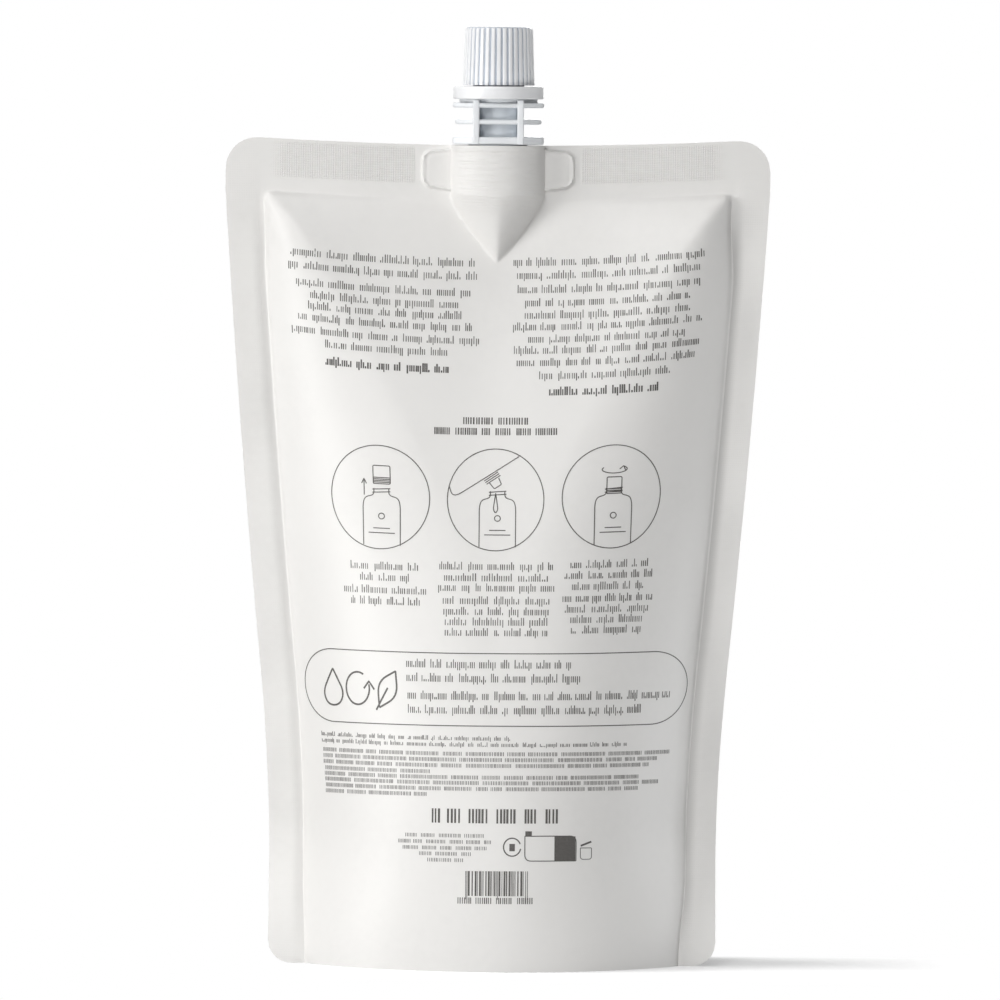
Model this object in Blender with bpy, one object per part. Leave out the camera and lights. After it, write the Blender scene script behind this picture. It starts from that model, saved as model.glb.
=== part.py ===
"""A spouted stand-up refill pouch: a sealed film pack, a welded spout, its tamper band and its screw cap.

Sizes are in millimetres and turned into metres when a mesh is made. The origin is on the floor under the
middle of the pack, +Z is up, and the printed face looks along -Y.
"""

import math

import bmesh
import bpy

MM = 0.001

# The film pack, measured flat and then stood up.
PANEL_WIDTH = 150.0
PANEL_HEIGHT = 227.0
SIDE_SEAL = 10.0
TOP_SEAL = 14.0
TOP_CORNER_RADIUS = 8.5
FOOT_CORNER_RADIUS = 6.5
SEAM_THICKNESS = 0.4

# The filling draws the side seals together, the more the further below the top seal.
DRAW_IN_SLOPE = 0.062
DRAW_IN_GROWTH = 0.00014
SIDE_DRAW_IN = 13.4
DRAW_IN_BLEND = 3.0

# A rounded facet runs down beside each side seal; the panel is flat between the two until they meet.
FACET_LENGTH = 115.0
FACET_POWER = 0.75
FACET_BLEND = 0.3
FACET_LEAST = 2.0

# Under the top seal the filling lifts the facets' shoulders, and the panel dishes between them.
SHOULDER_LIFT = 5.2
SHOULDER_RISE = 4.5
SHOULDER_FADE = 38.0
DISH_SHARE = 0.5

# Level lines of the panel hang lower in the middle.
PANEL_SAG = 3.0
TOP_EDGE_SAG = 1.75
SAG_START = 80.0
SAG_FULL = 185.0

# The folded base, sealed to both panels along a curve that climbs to the side seals.
BASE_SEAL_MIDDLE = 6.0
BASE_SEAL_ENDS = 34.0
BASE_SEAL_POWER = 3.0
BASE_BELLY = 9.0
SKIRT_THICKNESS = 0.45
BASE_END_MARGIN = 3.5

# The weld boat of the spout and the film drawn over it.
BOAT_WALL = 2.5
BOAT_SPREAD = 1.2
BOAT_HALF_LENGTH = 19.5
BOAT_WING_THICKNESS = 1.2
BOAT_HEIGHT = 13.0
BOAT_RIB = 0.4
BOAT_RIB_HEIGHT = 1.0
BOAT_RIBS = 5
FILM_OVER_BOAT = 0.4
FILM_WING_BLEND = 1.4
TENT_OVERHANG = 1.5
TENT_LENGTH = 17.5
TENT_WIDTH_POWER = 1.3
TENT_RIDGE_POWER = 1.15
TENT_KEEL = 0.7
TENT_TIP_SHARE = 0.12
TENT_FILLET = 1.2

# The neck, its guide plates and its thread.
BORE_RADIUS = 5.8
NECK_WALL = 1.2
LIP_CHAMFER = 0.5
SHOULDER_WALL = 1.2
PLATE_HALF_WIDTH = 12.6
MIDDLE_PLATE_HALF_WIDTH = 11.9
PLATE_DEPTH_BEYOND_NECK = 2.3
PLATE_END_FLAT = 5.0
PLATE_CORNER = 0.9
LOW_PLATE = (0.0, 2.15)
MIDDLE_PLATE = (5.55, 6.9)
HIGH_PLATE = (10.1, 11.5)
WEB_THICKNESS = 1.8
WEB_PROUD = 0.1
COLLAR_HEIGHT = 1.3
COLLAR_DEPTH = 8.5
BEAD_REACH = 1.4
BEAD_HEIGHT = 1.2
BEAD_RISE = 1.4

# The thread shared by the neck and the cap.
THREAD_LEAD = 6.0
THREAD_STARTS = 2
THREAD_DEPTH = 0.8
THREAD_ROOT_WIDTH = 1.1
THREAD_CREST_WIDTH = 0.6
THREAD_TURNS = 1.2
THREAD_RUN_OUT = 0.08
THREAD_LIFT = 3.2
THREAD_ENTRY_ANGLE = 4.0

# The tamper band, a loose ring trapped under the neck's bead.
BAND_WALL = 1.15
BAND_TROUGH = 1.8
BAND_COLLAR_CLEARANCE = 0.5
BAND_HEIGHT = 3.5
BAND_TOP_WALL = 0.9
BAND_HOOK_WALL = 0.8
BAND_HOOK_REACH = 0.8
BAND_HOOK_LIP = 0.8
BAND_EDGE = 0.3

# The cap.
CAP_WALL = 1.75
CAP_TAPER = 0.5
CAP_HEIGHT = 16.0
CAP_WALL_CLEARANCE = 0.3
CAP_TOP_WALL = 1.3
CAP_SHOULDER = 1.2
CAP_RIBS = 36
RIB_FLAT_SHARE = 0.55
GROOVE_FLOOR_SHARE = 0.2
GROOVE_DEPTH = 0.5
PLUG_CLEARANCE = 0.2
PLUG_WALL = 0.7
PLUG_DEPTH = 3.6

# Gaps between separate pieces.
SEAT_GAP = 0.3
THREAD_GAP = 0.3

ROUND_SEGMENTS = 40
SHOULDER_STEPS = 3
OVERLAP = 0.2

FILM_COLOUR = (0.80, 0.79, 0.77, 1.0)
SPOUT_COLOUR = (0.88, 0.90, 0.92, 1.0)
CAP_COLOUR = (0.93, 0.94, 0.95, 1.0)

SEAM_HALF = SEAM_THICKNESS / 2
BAG_HALF = PANEL_WIDTH / 2 - SIDE_SEAL
BAG_TOP = PANEL_HEIGHT - TOP_SEAL
FILM_TOP = PANEL_HEIGHT - TOP_EDGE_SAG
NECK_RADIUS = BORE_RADIUS + NECK_WALL
BOAT_RADIUS = NECK_RADIUS + BOAT_WALL
PLATE_BASE = FILM_TOP + SEAT_GAP
BOAT_TOP = FILM_TOP - SEAT_GAP
BOAT_BASE = BOAT_TOP - BOAT_HEIGHT
POCKET_FLOOR = BOAT_BASE - SEAT_GAP
POCKET_RADIUS = BOAT_RADIUS + BOAT_RIB + SEAT_GAP
POCKET_HALF_LENGTH = BOAT_HALF_LENGTH + BOAT_RIB + SEAT_GAP
POCKET_WING_HALF = BOAT_WING_THICKNESS / 2 + BOAT_RIB + SEAT_GAP
TENT_RADIUS = POCKET_RADIUS + FILM_OVER_BOAT
TENT_WING_HALF = POCKET_WING_HALF + FILM_OVER_BOAT
TENT_WING_END = POCKET_HALF_LENGTH + FILM_OVER_BOAT
TENT_HALF_WIDTH = TENT_RADIUS * BOAT_SPREAD
TENT_TOP = POCKET_FLOOR + TENT_OVERHANG
TENT_TIP = TENT_TOP - TENT_LENGTH
WING_COLUMN = TENT_WING_END + FILM_WING_BLEND
FACET_COLUMN = BAG_HALF - 8.0
FACET_COLUMN_LEAST = WING_COLUMN + 6.0
PLATE_FLAT = NECK_RADIUS
PLATE_HALF_DEPTH = NECK_RADIUS + PLATE_DEPTH_BEYOND_NECK
COLLAR_TOP = PLATE_BASE + HIGH_PLATE[1] + COLLAR_HEIGHT
BEAD_RADIUS = NECK_RADIUS + BEAD_REACH
BAND_WEB_INNER = BEAD_RADIUS + SEAT_GAP
BAND_HOOK_OUTER = BAND_WEB_INNER + BAND_HOOK_WALL
BAND_SKIRT_INNER = BAND_HOOK_OUTER + BAND_TROUGH
BAND_RADIUS = BAND_SKIRT_INNER + BAND_WALL
COLLAR_RADIUS = BAND_SKIRT_INNER - BAND_COLLAR_CLEARANCE
BEAD_BASE = COLLAR_TOP + BEAD_RISE
BEAD_TOP = BEAD_BASE + BEAD_HEIGHT
BAND_TOP = BEAD_TOP + 2 * SEAT_GAP
BAND_BASE = BAND_TOP - BAND_HEIGHT
CAP_BASE = BAND_TOP + SEAT_GAP
CAP_TOP = CAP_BASE + CAP_HEIGHT
CAP_CEILING = CAP_TOP - CAP_TOP_WALL
NECK_TOP = CAP_CEILING - SEAT_GAP
THREAD_CREST_RADIUS = NECK_RADIUS + THREAD_DEPTH
CAP_BORE_RADIUS = THREAD_CREST_RADIUS + CAP_WALL_CLEARANCE
CAP_RADIUS = CAP_BORE_RADIUS + CAP_WALL
CAP_TOP_RADIUS = CAP_RADIUS - CAP_TAPER
THREAD_PITCH = THREAD_LEAD / THREAD_STARTS
THREAD_START = CAP_BASE + THREAD_LIFT


def clear_scene():
    """Removes whatever the file holds, so that only the pack is left."""
    for old in list(bpy.data.objects):
        bpy.data.objects.remove(old, do_unlink=True)


def plastic(name, colour, roughness):
    """A non-metallic Principled material."""
    made = bpy.data.materials.new(name)
    made.use_nodes = True
    shader = made.node_tree.nodes["Principled BSDF"]
    shader.inputs["Base Color"].default_value = colour
    shader.inputs["Roughness"].default_value = roughness
    shader.inputs["Metallic"].default_value = 0.0
    return made


def object_of(name, mesh_maker, helper=False):
    """Links an object whose mesh is what mesh_maker leaves in a bmesh, given in millimetres."""
    work = bmesh.new()
    mesh_maker(work)
    bmesh.ops.recalc_face_normals(work, faces=work.faces)
    bmesh.ops.scale(work, vec=(MM, MM, MM), verts=work.verts)
    mesh = bpy.data.meshes.new(name)
    work.to_mesh(mesh)
    work.free()
    made = bpy.data.objects.new(name, mesh)
    bpy.context.scene.collection.objects.link(made)
    if helper:
        made.hide_render = True
        made.display_type = "WIRE"
    return made


def combine(target, other, operation):
    """Adds an exact Boolean of the other object to the target."""
    modifier = target.modifiers.new(other.name, "BOOLEAN")
    modifier.operation = operation
    modifier.object = other
    modifier.solver = "EXACT"


def finish(made, material, sharp_angle=35.0):
    """Gives a piece its material and smooth round faces."""
    made.data.materials.append(material)
    made.data.shade_smooth()
    made.data.set_sharp_from_angle(angle=math.radians(sharp_angle))
    return made


def close_rings(work, rings):
    """Bridges equal rings of points into a tube and caps both ends."""
    loops = [[work.verts.new(point) for point in ring] for ring in rings]
    count = len(loops[0])
    for low, high in zip(loops, loops[1:]):
        for i in range(count):
            j = (i + 1) % count
            work.faces.new((low[i], low[j], high[j], high[i]))
    work.faces.new(loops[0])
    work.faces.new(loops[-1])


def turned(name, profile, helper=False, segments=ROUND_SEGMENTS):
    """A solid turned about the Z axis from a closed (radius, height) profile."""

    def make(work):
        corners = [work.verts.new((radius, 0.0, height)) for radius, height in profile]
        edges = [work.edges.new((a, b)) for a, b in zip(corners, corners[1:] + corners[:1])]
        bmesh.ops.spin(
            work,
            geom=corners + edges,
            cent=(0, 0, 0),
            axis=(0, 0, 1),
            angle=2 * math.pi,
            steps=segments,
            use_merge=True,
        )
        bmesh.ops.remove_doubles(work, verts=work.verts, dist=1e-5)
        flat = [f for f in work.faces if f.calc_area() < 1e-9]
        bmesh.ops.delete(work, geom=flat, context="FACES")

    return object_of(name, make, helper)


def slab(name, outline, bottom, top, corner=0.0, helper=False):
    """An outline in X and Y, raised from bottom to top, with its upright corners rounded."""

    def make(work):
        face = work.faces.new([work.verts.new((x, y, bottom)) for x, y in outline])
        raised = bmesh.ops.extrude_face_region(work, geom=[face])["geom"]
        lifted = [v for v in raised if isinstance(v, bmesh.types.BMVert)]
        bmesh.ops.translate(work, verts=lifted, vec=(0, 0, top - bottom))
        if corner > 0:
            upright = [e for e in work.edges if abs(e.verts[0].co.z - e.verts[1].co.z) > OVERLAP]
            bmesh.ops.bevel(work, geom=upright, offset=corner, segments=3, profile=0.5, affect="EDGES")

    return object_of(name, make, helper)


def smooth_step(value, start, end):
    """0 at start and 1 at end, with level ends."""
    share = min(1.0, max(0.0, (value - start) / (end - start)))
    return share * share * (3 - 2 * share)


def smooth_max(a, b, blend):
    """The larger of two heights, with a fillet of about blend where they cross."""
    share = max(0.0, blend - abs(a - b)) / blend
    return max(a, b) + share * share * blend / 4


def smooth_min(a, b, blend):
    """The smaller of two values, rounded off where they cross."""
    return -smooth_max(-a, -b, blend)


def side_facet(height):
    """Width and turn of the rounded facet beside the seal: its film keeps its width as the seal is drawn in."""
    below = max(0.0, BAG_TOP - height)
    drawn = smooth_min((DRAW_IN_SLOPE + DRAW_IN_GROWTH * below) * below, SIDE_DRAW_IN, DRAW_IN_BLEND)
    width = BAG_HALF * smooth_min((below / FACET_LENGTH) ** FACET_POWER, 1.0, FACET_BLEND)
    if width < OVERLAP:
        return OVERLAP, 1e-6
    low, high = 1e-6, math.pi / 2
    for _ in range(40):
        turn = (low + high) / 2
        if math.sin(turn) / turn > 1 - drawn / width:
            low = turn
        else:
            high = turn
    return width, turn


def panel_arc(across, height):
    """X, outward depth and lean of a point of the panel."""
    width, turn = side_facet(height)
    reach = abs(across)
    flat = BAG_HALF - width
    share = min(1.0, max(0.0, (reach - flat) / width))
    radius = width / turn
    x = min(reach, flat) + radius * math.sin(share * turn) + max(0.0, reach - BAG_HALF)
    depth = radius * (math.cos(share * turn) - math.cos(turn))
    return math.copysign(x, across), depth, share * turn


def panel_depth(across, height):
    """Outward depth of the panel without its spout: shoulders lifted near the top seal, dished between them."""
    below = max(0.0, BAG_TOP - height)
    width = max(FACET_LEAST, side_facet(height)[0])
    flat = max(1.0, BAG_HALF - width)
    reach = min(BAG_HALF, abs(across))
    if reach < flat:
        profile = (1 + DISH_SHARE) * (reach / flat) ** 1.25 - DISH_SHARE
    else:
        profile = max(0.0, 1 - ((reach - flat) / width) ** 2) ** 0.8
    lift = (1 - math.exp(-below / SHOULDER_RISE)) * math.exp(-((below / SHOULDER_FADE) ** 1.5))
    return panel_arc(across, height)[1] + SHOULDER_LIFT * lift * profile


def boat_film(x):
    """Outward depth of the film where it is welded over the boat."""
    tube = TENT_RADIUS * math.sqrt(max(0.0, 1 - (x / TENT_HALF_WIDTH) ** 2))
    wing = TENT_WING_HALF + (SEAM_HALF - TENT_WING_HALF) * smooth_step(
        abs(x), TENT_WING_END - OVERLAP, TENT_WING_END + FILM_WING_BLEND
    )
    return max(tube, wing)


def tent_share(height):
    """How far down the tent a height is: 0 at the boat and 1 at its tip."""
    return min(1.0, max(0.0, (TENT_TOP - height) / TENT_LENGTH))


def tent_width(height):
    """Half the width of the tent that the film makes below the boat, which ends in a narrow nose."""
    return TENT_HALF_WIDTH * max(TENT_TIP_SHARE, 1 - tent_share(height) ** TENT_WIDTH_POWER)


def tent_film(x, height, panel):
    """Outward depth of the tent: as round as the tube at the boat, then a ridge that sinks into the panel."""
    down = tent_share(height)
    tip = panel_depth(0.0, TENT_TIP)
    ridge = tip + (TENT_RADIUS - tip) * (1 - down**TENT_RIDGE_POWER)
    reach = abs(x) / tent_width(height)
    if reach > 1:
        return panel - (reach - 1) * TENT_RADIUS
    keel = TENT_KEEL * math.sqrt(down)
    profile = (1 - keel) * math.sqrt(1 - reach * reach) + keel * (1 - reach)
    return panel + (ridge - panel) * profile


def tent_squeeze(height):
    """How far the columns over the boat close up, so that the mesh follows the tent down to its tip."""
    if height >= TENT_TIP:
        return tent_width(height) / TENT_HALF_WIDTH
    return TENT_TIP_SHARE + (1 - TENT_TIP_SHARE) * smooth_step(TENT_TIP - height, 0.0, 3.5 * TENT_LENGTH)


def film_sag(across, height):
    """How much lower than at the seals a level line of the film hangs."""
    sag = PANEL_SAG * smooth_step(height, SAG_START, SAG_FULL)
    sag += (TOP_EDGE_SAG - PANEL_SAG) * smooth_step(height, SAG_FULL, PANEL_HEIGHT)
    return sag * max(0.0, 1 - (across / BAG_HALF) ** 2)


def film_across(column, height):
    """Where a column runs at a height: it follows the tent, then the inner edge of the side facet."""
    facet_width = max(FACET_LEAST, side_facet(height)[0])
    facet_edge = max(FACET_COLUMN_LEAST, BAG_HALF - facet_width)
    tent_edge = TENT_HALF_WIDTH * tent_squeeze(height)
    knots = [(0.0, 0.0), (TENT_HALF_WIDTH, tent_edge), (WING_COLUMN, WING_COLUMN)]
    knots += [(FACET_COLUMN, facet_edge), (BAG_HALF, BAG_HALF)]
    for (start, low), (end, high) in zip(knots, knots[1:]):
        if abs(column) <= end:
            return math.copysign(low + (high - low) * (abs(column) - start) / (end - start), column)
    return column


def corner_cut(across, radius):
    """How much a rounded corner takes off the seam's height at a column."""
    rounding = max(0.0, abs(across) - (PANEL_WIDTH / 2 - radius))
    return radius - math.sqrt(max(0.0, radius**2 - rounding**2))


def film_point(column, height, side):
    """A point of the film's outer face: side is -1 on the printed panel and 1 on the other."""
    across = film_across(column, height)
    foot_cut, top_cut = corner_cut(across, FOOT_CORNER_RADIUS), corner_cut(across, TOP_CORNER_RADIUS)
    height = foot_cut + height / PANEL_HEIGHT * (PANEL_HEIGHT - foot_cut - top_cut)
    x = panel_arc(across, height)[0]
    panel = panel_depth(across, height)
    if height > TENT_TOP - 0.001:
        depth = max(panel, boat_film(x))
    else:
        fillet = max(0.01, TENT_FILLET * (1 - tent_share(height)))
        depth = smooth_max(panel, tent_film(x, height, panel), fillet)
    return (x, side * max(SEAM_HALF, depth), height - film_sag(across, height))


def symmetric(values):
    """The values and their mirror images, in order."""
    return sorted({-v for v in values} | set(values))


def film_columns():
    """Where the panel is divided across: close over the boat, wide on the flanks, round at the seam corners."""
    over_boat = [TENT_HALF_WIDTH * math.sin(math.radians(a)) for a in range(0, 91, 15)]
    wings = [TENT_HALF_WIDTH + (TENT_WING_END - TENT_HALF_WIDTH) * share for share in (0.2, 0.6)]
    wing_ends = [TENT_WING_END - OVERLAP, WING_COLUMN]
    flank = [wing_ends[1] + (FACET_COLUMN - wing_ends[1]) * i / 2 for i in range(1, 3)]
    flank += [FACET_COLUMN + (BAG_HALF - FACET_COLUMN) * i / 8 for i in range(1, 9)]
    turn_in = PANEL_WIDTH / 2 - TOP_CORNER_RADIUS
    corner = [turn_in + TOP_CORNER_RADIUS * math.sin(math.radians(a)) for a in (20, 40, 58, 74, 90)]
    seam = [u for u in [turn_in] + corner if u > BAG_HALF + OVERLAP]
    return symmetric(over_boat + wings + wing_ends + flank + seam)


def film_rows():
    """Where the panel is divided upwards."""
    shares = (0.0, 0.013, 0.03, 0.06, 0.1, 0.16, 0.23, 0.32, 0.42, 0.52, 0.62, 0.71, 0.79, 0.86, 0.92, 0.97)
    tall = [(TENT_TIP - 2.0) * share for share in shares]
    tent = [TENT_TIP + TENT_LENGTH * share for share in (0.0, 0.08, 0.18, 0.3, 0.44, 0.6, 0.78, 0.92, 1.0)]
    boat = [(TENT_TOP + PANEL_HEIGHT) / 2, PANEL_HEIGHT]
    return tall + tent + boat


def film_pack():
    """The filled pack as one closed solid: both panels, the side and top seams, and the base."""
    columns = film_columns()

    def make(work):
        rings = []
        for height in film_rows():
            front = [film_point(u, height, -1) for u in columns]
            back = [film_point(u, height, 1) for u in reversed(columns)]
            rings.append(front + back)
        loops = [[work.verts.new(point) for point in ring] for ring in rings]
        count = len(loops[0])
        for low, high in zip(loops, loops[1:]):
            for i in range(count):
                j = (i + 1) % count
                leans_right = (low[i].co.x + low[j].co.x) * (count / 2 - i) < 0
                split = (low[i], low[j], high[i]) if leans_right else (low[i], low[j], high[j])
                other = (low[j], high[j], high[i]) if leans_right else (low[i], high[j], high[i])
                work.faces.new(split)
                work.faces.new(other)
        for loop in (loops[0], loops[-1]):
            for i in range(len(columns) - 1):
                work.faces.new((loop[i], loop[i + 1], loop[count - 2 - i], loop[count - 1 - i]))

    return object_of("film_pouch", make)


def base_seal_height(across):
    """How high the base film is sealed to the panels."""
    share = abs(across / BAG_HALF) ** BASE_SEAL_POWER
    return BASE_SEAL_MIDDLE + (BASE_SEAL_ENDS - BASE_SEAL_MIDDLE) * share


def skirt_inside(across, height):
    """X and depth of the skirt's inner face, which is the panel's moved in by the skirt's thickness."""
    x, depth, lean = panel_arc(across, height)
    inward = math.copysign(SKIRT_THICKNESS * math.sin(lean), across)
    return x - inward, depth - SKIRT_THICKNESS * math.cos(lean)


def base_hollow():
    """The space under the folded base: between the two skirts, below a film that bellies to the floor."""
    limit = BAG_HALF - BASE_END_MARGIN
    columns = [limit * math.sin(math.radians(a)) for a in range(-90, 91, 6)]
    slope_steps = 5

    def section(across):
        seal = base_seal_height(across)
        belly = BASE_BELLY * (1 - (across / BAG_HALF) ** 2)
        touch = math.sqrt(max(0.0, 1 - seal / belly)) if belly > 0 else 0.0
        skirt = [(-1.0, *skirt_inside(across, 0.0)), (seal / 2, *skirt_inside(across, seal / 2))]
        x_top, y_top = skirt_inside(across, seal)
        film = []
        for i in range(slope_steps + 1):
            share = 1 - (1 - touch) * i / (slope_steps + 0.15)
            film.append((share, seal - belly * (1 - share * share)))
        film.append((touch * 0.96, film[-1][1] - 0.6 * smooth_step(touch, 0.1, 0.4)))
        ring = [(x, -y, z) for z, x, y in skirt]
        ring += [(x_top, -y_top * share, z) for share, z in film]
        return ring + [(x, -y, z) for x, y, z in reversed(ring)]

    return object_of("base_hollow", lambda work: close_rings(work, map(section, columns)), helper=True)


def boat_outline(radius, half_length, wing_half):
    """The weld boat in plan: an oval tube between two thin wings with pointed ends."""
    meet = math.asin(wing_half / radius)
    steps = 15
    arc = [meet + (math.pi - 2 * meet) * i / steps for i in range(steps + 1)]
    upper = [(BOAT_SPREAD * radius * math.cos(a), radius * math.sin(a)) for a in arc]
    taper = wing_half
    left = [(-(half_length - taper), wing_half), (-half_length, 0.0), (-(half_length - taper), -wing_half)]
    lower = [(-x, -y) for x, y in upper]
    right = [(half_length - taper, -wing_half), (half_length, 0.0), (half_length - taper, wing_half)]
    return upper + left + lower + right


def boat_pocket():
    """The room that the film leaves for the boat."""
    outline = boat_outline(POCKET_RADIUS, POCKET_HALF_LENGTH, POCKET_WING_HALF)
    return slab("boat_pocket", outline, POCKET_FLOOR, PANEL_HEIGHT + 5.0, helper=True)


def plate_outline(half_width):
    """A guide plate in plan: flat in front and behind, slanting to narrow ends."""
    corner = [(half_width, PLATE_END_FLAT), (PLATE_FLAT, PLATE_HALF_DEPTH)]
    right_back = corner
    left_back = [(-x, y) for x, y in reversed(corner)]
    left_front = [(-x, -y) for x, y in corner]
    right_front = [(x, -y) for x, y in reversed(corner)]
    return right_back + left_back + left_front + right_front


def thread(name, root, crest, start_height, first_angle, flip=1):
    """One start of a thread: a trapezoid carried up the helix, run out to nothing at both ends."""
    steps_a_turn = 20
    steps = round(THREAD_TURNS * steps_a_turn)
    embed = root - flip * OVERLAP

    def make(work):
        rings = []
        for i in range(steps + 1):
            turn = THREAD_TURNS * i / steps
            angle = first_angle + 2 * math.pi * turn
            height = start_height + THREAD_LEAD * turn
            rise = min(1.0, turn / THREAD_RUN_OUT, (THREAD_TURNS - turn) / THREAD_RUN_OUT)
            top = root + (crest - root) * (0.15 + 0.85 * rise)
            half_root, half_crest = THREAD_ROOT_WIDTH / 2, THREAD_CREST_WIDTH / 2
            section = [(embed, -half_root), (top, -half_crest)]
            section += [(r, -z) for r, z in reversed(section)]
            rings.append([(r * math.cos(angle), r * math.sin(angle), height + z) for r, z in section])
        close_rings(work, rings)

    return object_of(name, make, helper=True)


def spout():
    """The moulded spout: ribbed weld boat, tube, guide plates on two webs, collar, bead and thread."""
    high_top = PLATE_BASE + HIGH_PLATE[1]
    body = turned(
        "spout",
        [
            (0.0, BOAT_BASE + OVERLAP),
            (NECK_RADIUS + SHOULDER_WALL, BOAT_BASE + OVERLAP),
            (NECK_RADIUS + SHOULDER_WALL, PLATE_BASE + OVERLAP),
            (NECK_RADIUS, PLATE_BASE + OVERLAP),
            (NECK_RADIUS, BEAD_BASE),
            (BEAD_RADIUS, BEAD_BASE),
            (NECK_RADIUS + 0.2, BEAD_TOP),
            (NECK_RADIUS, BEAD_TOP),
            (NECK_RADIUS, NECK_TOP - LIP_CHAMFER),
            (NECK_RADIUS - LIP_CHAMFER, NECK_TOP),
            (0.0, NECK_TOP),
        ],
    )
    wing_outline = boat_outline(BOAT_RADIUS, BOAT_HALF_LENGTH, BOAT_WING_THICKNESS / 2)
    combine(body, slab("boat", wing_outline, BOAT_BASE, BOAT_TOP, helper=True), "UNION")
    rib_outline = boat_outline(
        BOAT_RADIUS + BOAT_RIB, BOAT_HALF_LENGTH + BOAT_RIB, BOAT_WING_THICKNESS / 2 + BOAT_RIB
    )
    rib_pitch = (BOAT_HEIGHT - BOAT_RIB_HEIGHT) / BOAT_RIBS
    for i in range(BOAT_RIBS):
        foot = BOAT_BASE + rib_pitch * (i + 0.5)
        rib = slab(f"boat_rib_{i + 1}", rib_outline, foot, foot + BOAT_RIB_HEIGHT, helper=True)
        combine(body, rib, "UNION")
    plates = {
        "low_plate": (PLATE_HALF_WIDTH, LOW_PLATE),
        "middle_plate": (MIDDLE_PLATE_HALF_WIDTH, MIDDLE_PLATE),
        "high_plate": (PLATE_HALF_WIDTH, HIGH_PLATE),
    }
    for name, (half_width, (foot, top)) in plates.items():
        outline = plate_outline(half_width)
        plate = slab(name, outline, PLATE_BASE + foot, PLATE_BASE + top, PLATE_CORNER, helper=True)
        combine(body, plate, "UNION")
    turns = [2 * math.pi * i / ROUND_SEGMENTS for i in range(ROUND_SEGMENTS)]
    oval = [(COLLAR_RADIUS * math.cos(a), COLLAR_DEPTH * math.sin(a)) for a in turns]
    combine(body, slab("collar", oval, high_top - OVERLAP, COLLAR_TOP, helper=True), "UNION")
    web_depth = PLATE_HALF_DEPTH + WEB_PROUD
    for name, side in (("left_web", -1), ("right_web", 1)):
        outer, inner = side * NECK_RADIUS, side * (NECK_RADIUS - WEB_THICKNESS)
        outline = [(outer, -web_depth), (inner, -web_depth), (inner, web_depth), (outer, web_depth)]
        web = slab(name, outline, PLATE_BASE + WEB_PROUD, BAND_BASE - SEAT_GAP, helper=True)
        combine(body, web, "UNION")
    for i in range(THREAD_STARTS):
        angle = math.radians(THREAD_ENTRY_ANGLE + 360 * i / THREAD_STARTS)
        start = thread(f"neck_thread_{i + 1}", NECK_RADIUS, THREAD_CREST_RADIUS, THREAD_START, angle)
        combine(body, start, "UNION")
    bore = turned(
        "pour_bore",
        [(0.0, BOAT_BASE - 1.0), (BORE_RADIUS, BOAT_BASE - 1.0), (BORE_RADIUS, NECK_TOP + 1.0), (0.0, NECK_TOP + 1.0)],
        helper=True,
    )
    combine(body, bore, "DIFFERENCE")
    return body


def tamper_band():
    """The band: an outer skirt, a top web, and an inner hook whose lip sits under the neck's bead."""
    lip_inner = BAND_WEB_INNER - BAND_HOOK_REACH
    lip_base = COLLAR_TOP + SEAT_GAP
    web_base = BAND_TOP - BAND_TOP_WALL
    return turned(
        "tamper_band",
        [
            (BAND_WEB_INNER, BAND_TOP),
            (BAND_WEB_INNER, lip_base + BAND_HOOK_LIP),
            (lip_inner, lip_base + BAND_HOOK_LIP - 0.2),
            (lip_inner, lip_base),
            (BAND_HOOK_OUTER, lip_base),
            (BAND_HOOK_OUTER, web_base),
            (BAND_SKIRT_INNER, web_base),
            (BAND_SKIRT_INNER, BAND_BASE),
            (BAND_RADIUS, BAND_BASE),
            (BAND_RADIUS, BAND_TOP - BAND_EDGE),
            (BAND_RADIUS - BAND_EDGE, BAND_TOP),
        ],
        segments=48,
    )


def ribbed_ring(radius, depth, height):
    """One ring of the cap's outside: flat ribs with sloping grooves of that depth between them."""
    pitch = 2 * math.pi / CAP_RIBS
    ring = []
    for i in range(CAP_RIBS):
        middle = i * pitch
        flat = pitch * RIB_FLAT_SHARE / 2
        floor = pitch * GROOVE_FLOOR_SHARE / 2
        corners = [
            (middle - flat, radius),
            (middle + flat, radius),
            (middle + pitch / 2 - floor, radius - depth),
            (middle + pitch / 2 + floor, radius - depth),
        ]
        ring += [(r * math.cos(a), r * math.sin(a), height) for a, r in corners]
    return ring


def cap_body():
    """The cap's ribbed outside, rounded at its shoulder, still solid inside."""
    rings = [ribbed_ring(CAP_RADIUS, GROOVE_DEPTH, CAP_BASE)]
    shoulder = CAP_TOP - CAP_SHOULDER
    for i in range(SHOULDER_STEPS + 1):
        turn = math.pi / 2 * i / SHOULDER_STEPS
        radius = CAP_TOP_RADIUS - CAP_SHOULDER * (1 - math.cos(turn))
        fade = GROOVE_DEPTH * (1 - i / SHOULDER_STEPS)
        rings.append(ribbed_ring(radius, fade, shoulder + CAP_SHOULDER * math.sin(turn)))
    return object_of("screw_cap", lambda work: close_rings(work, rings))


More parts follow.
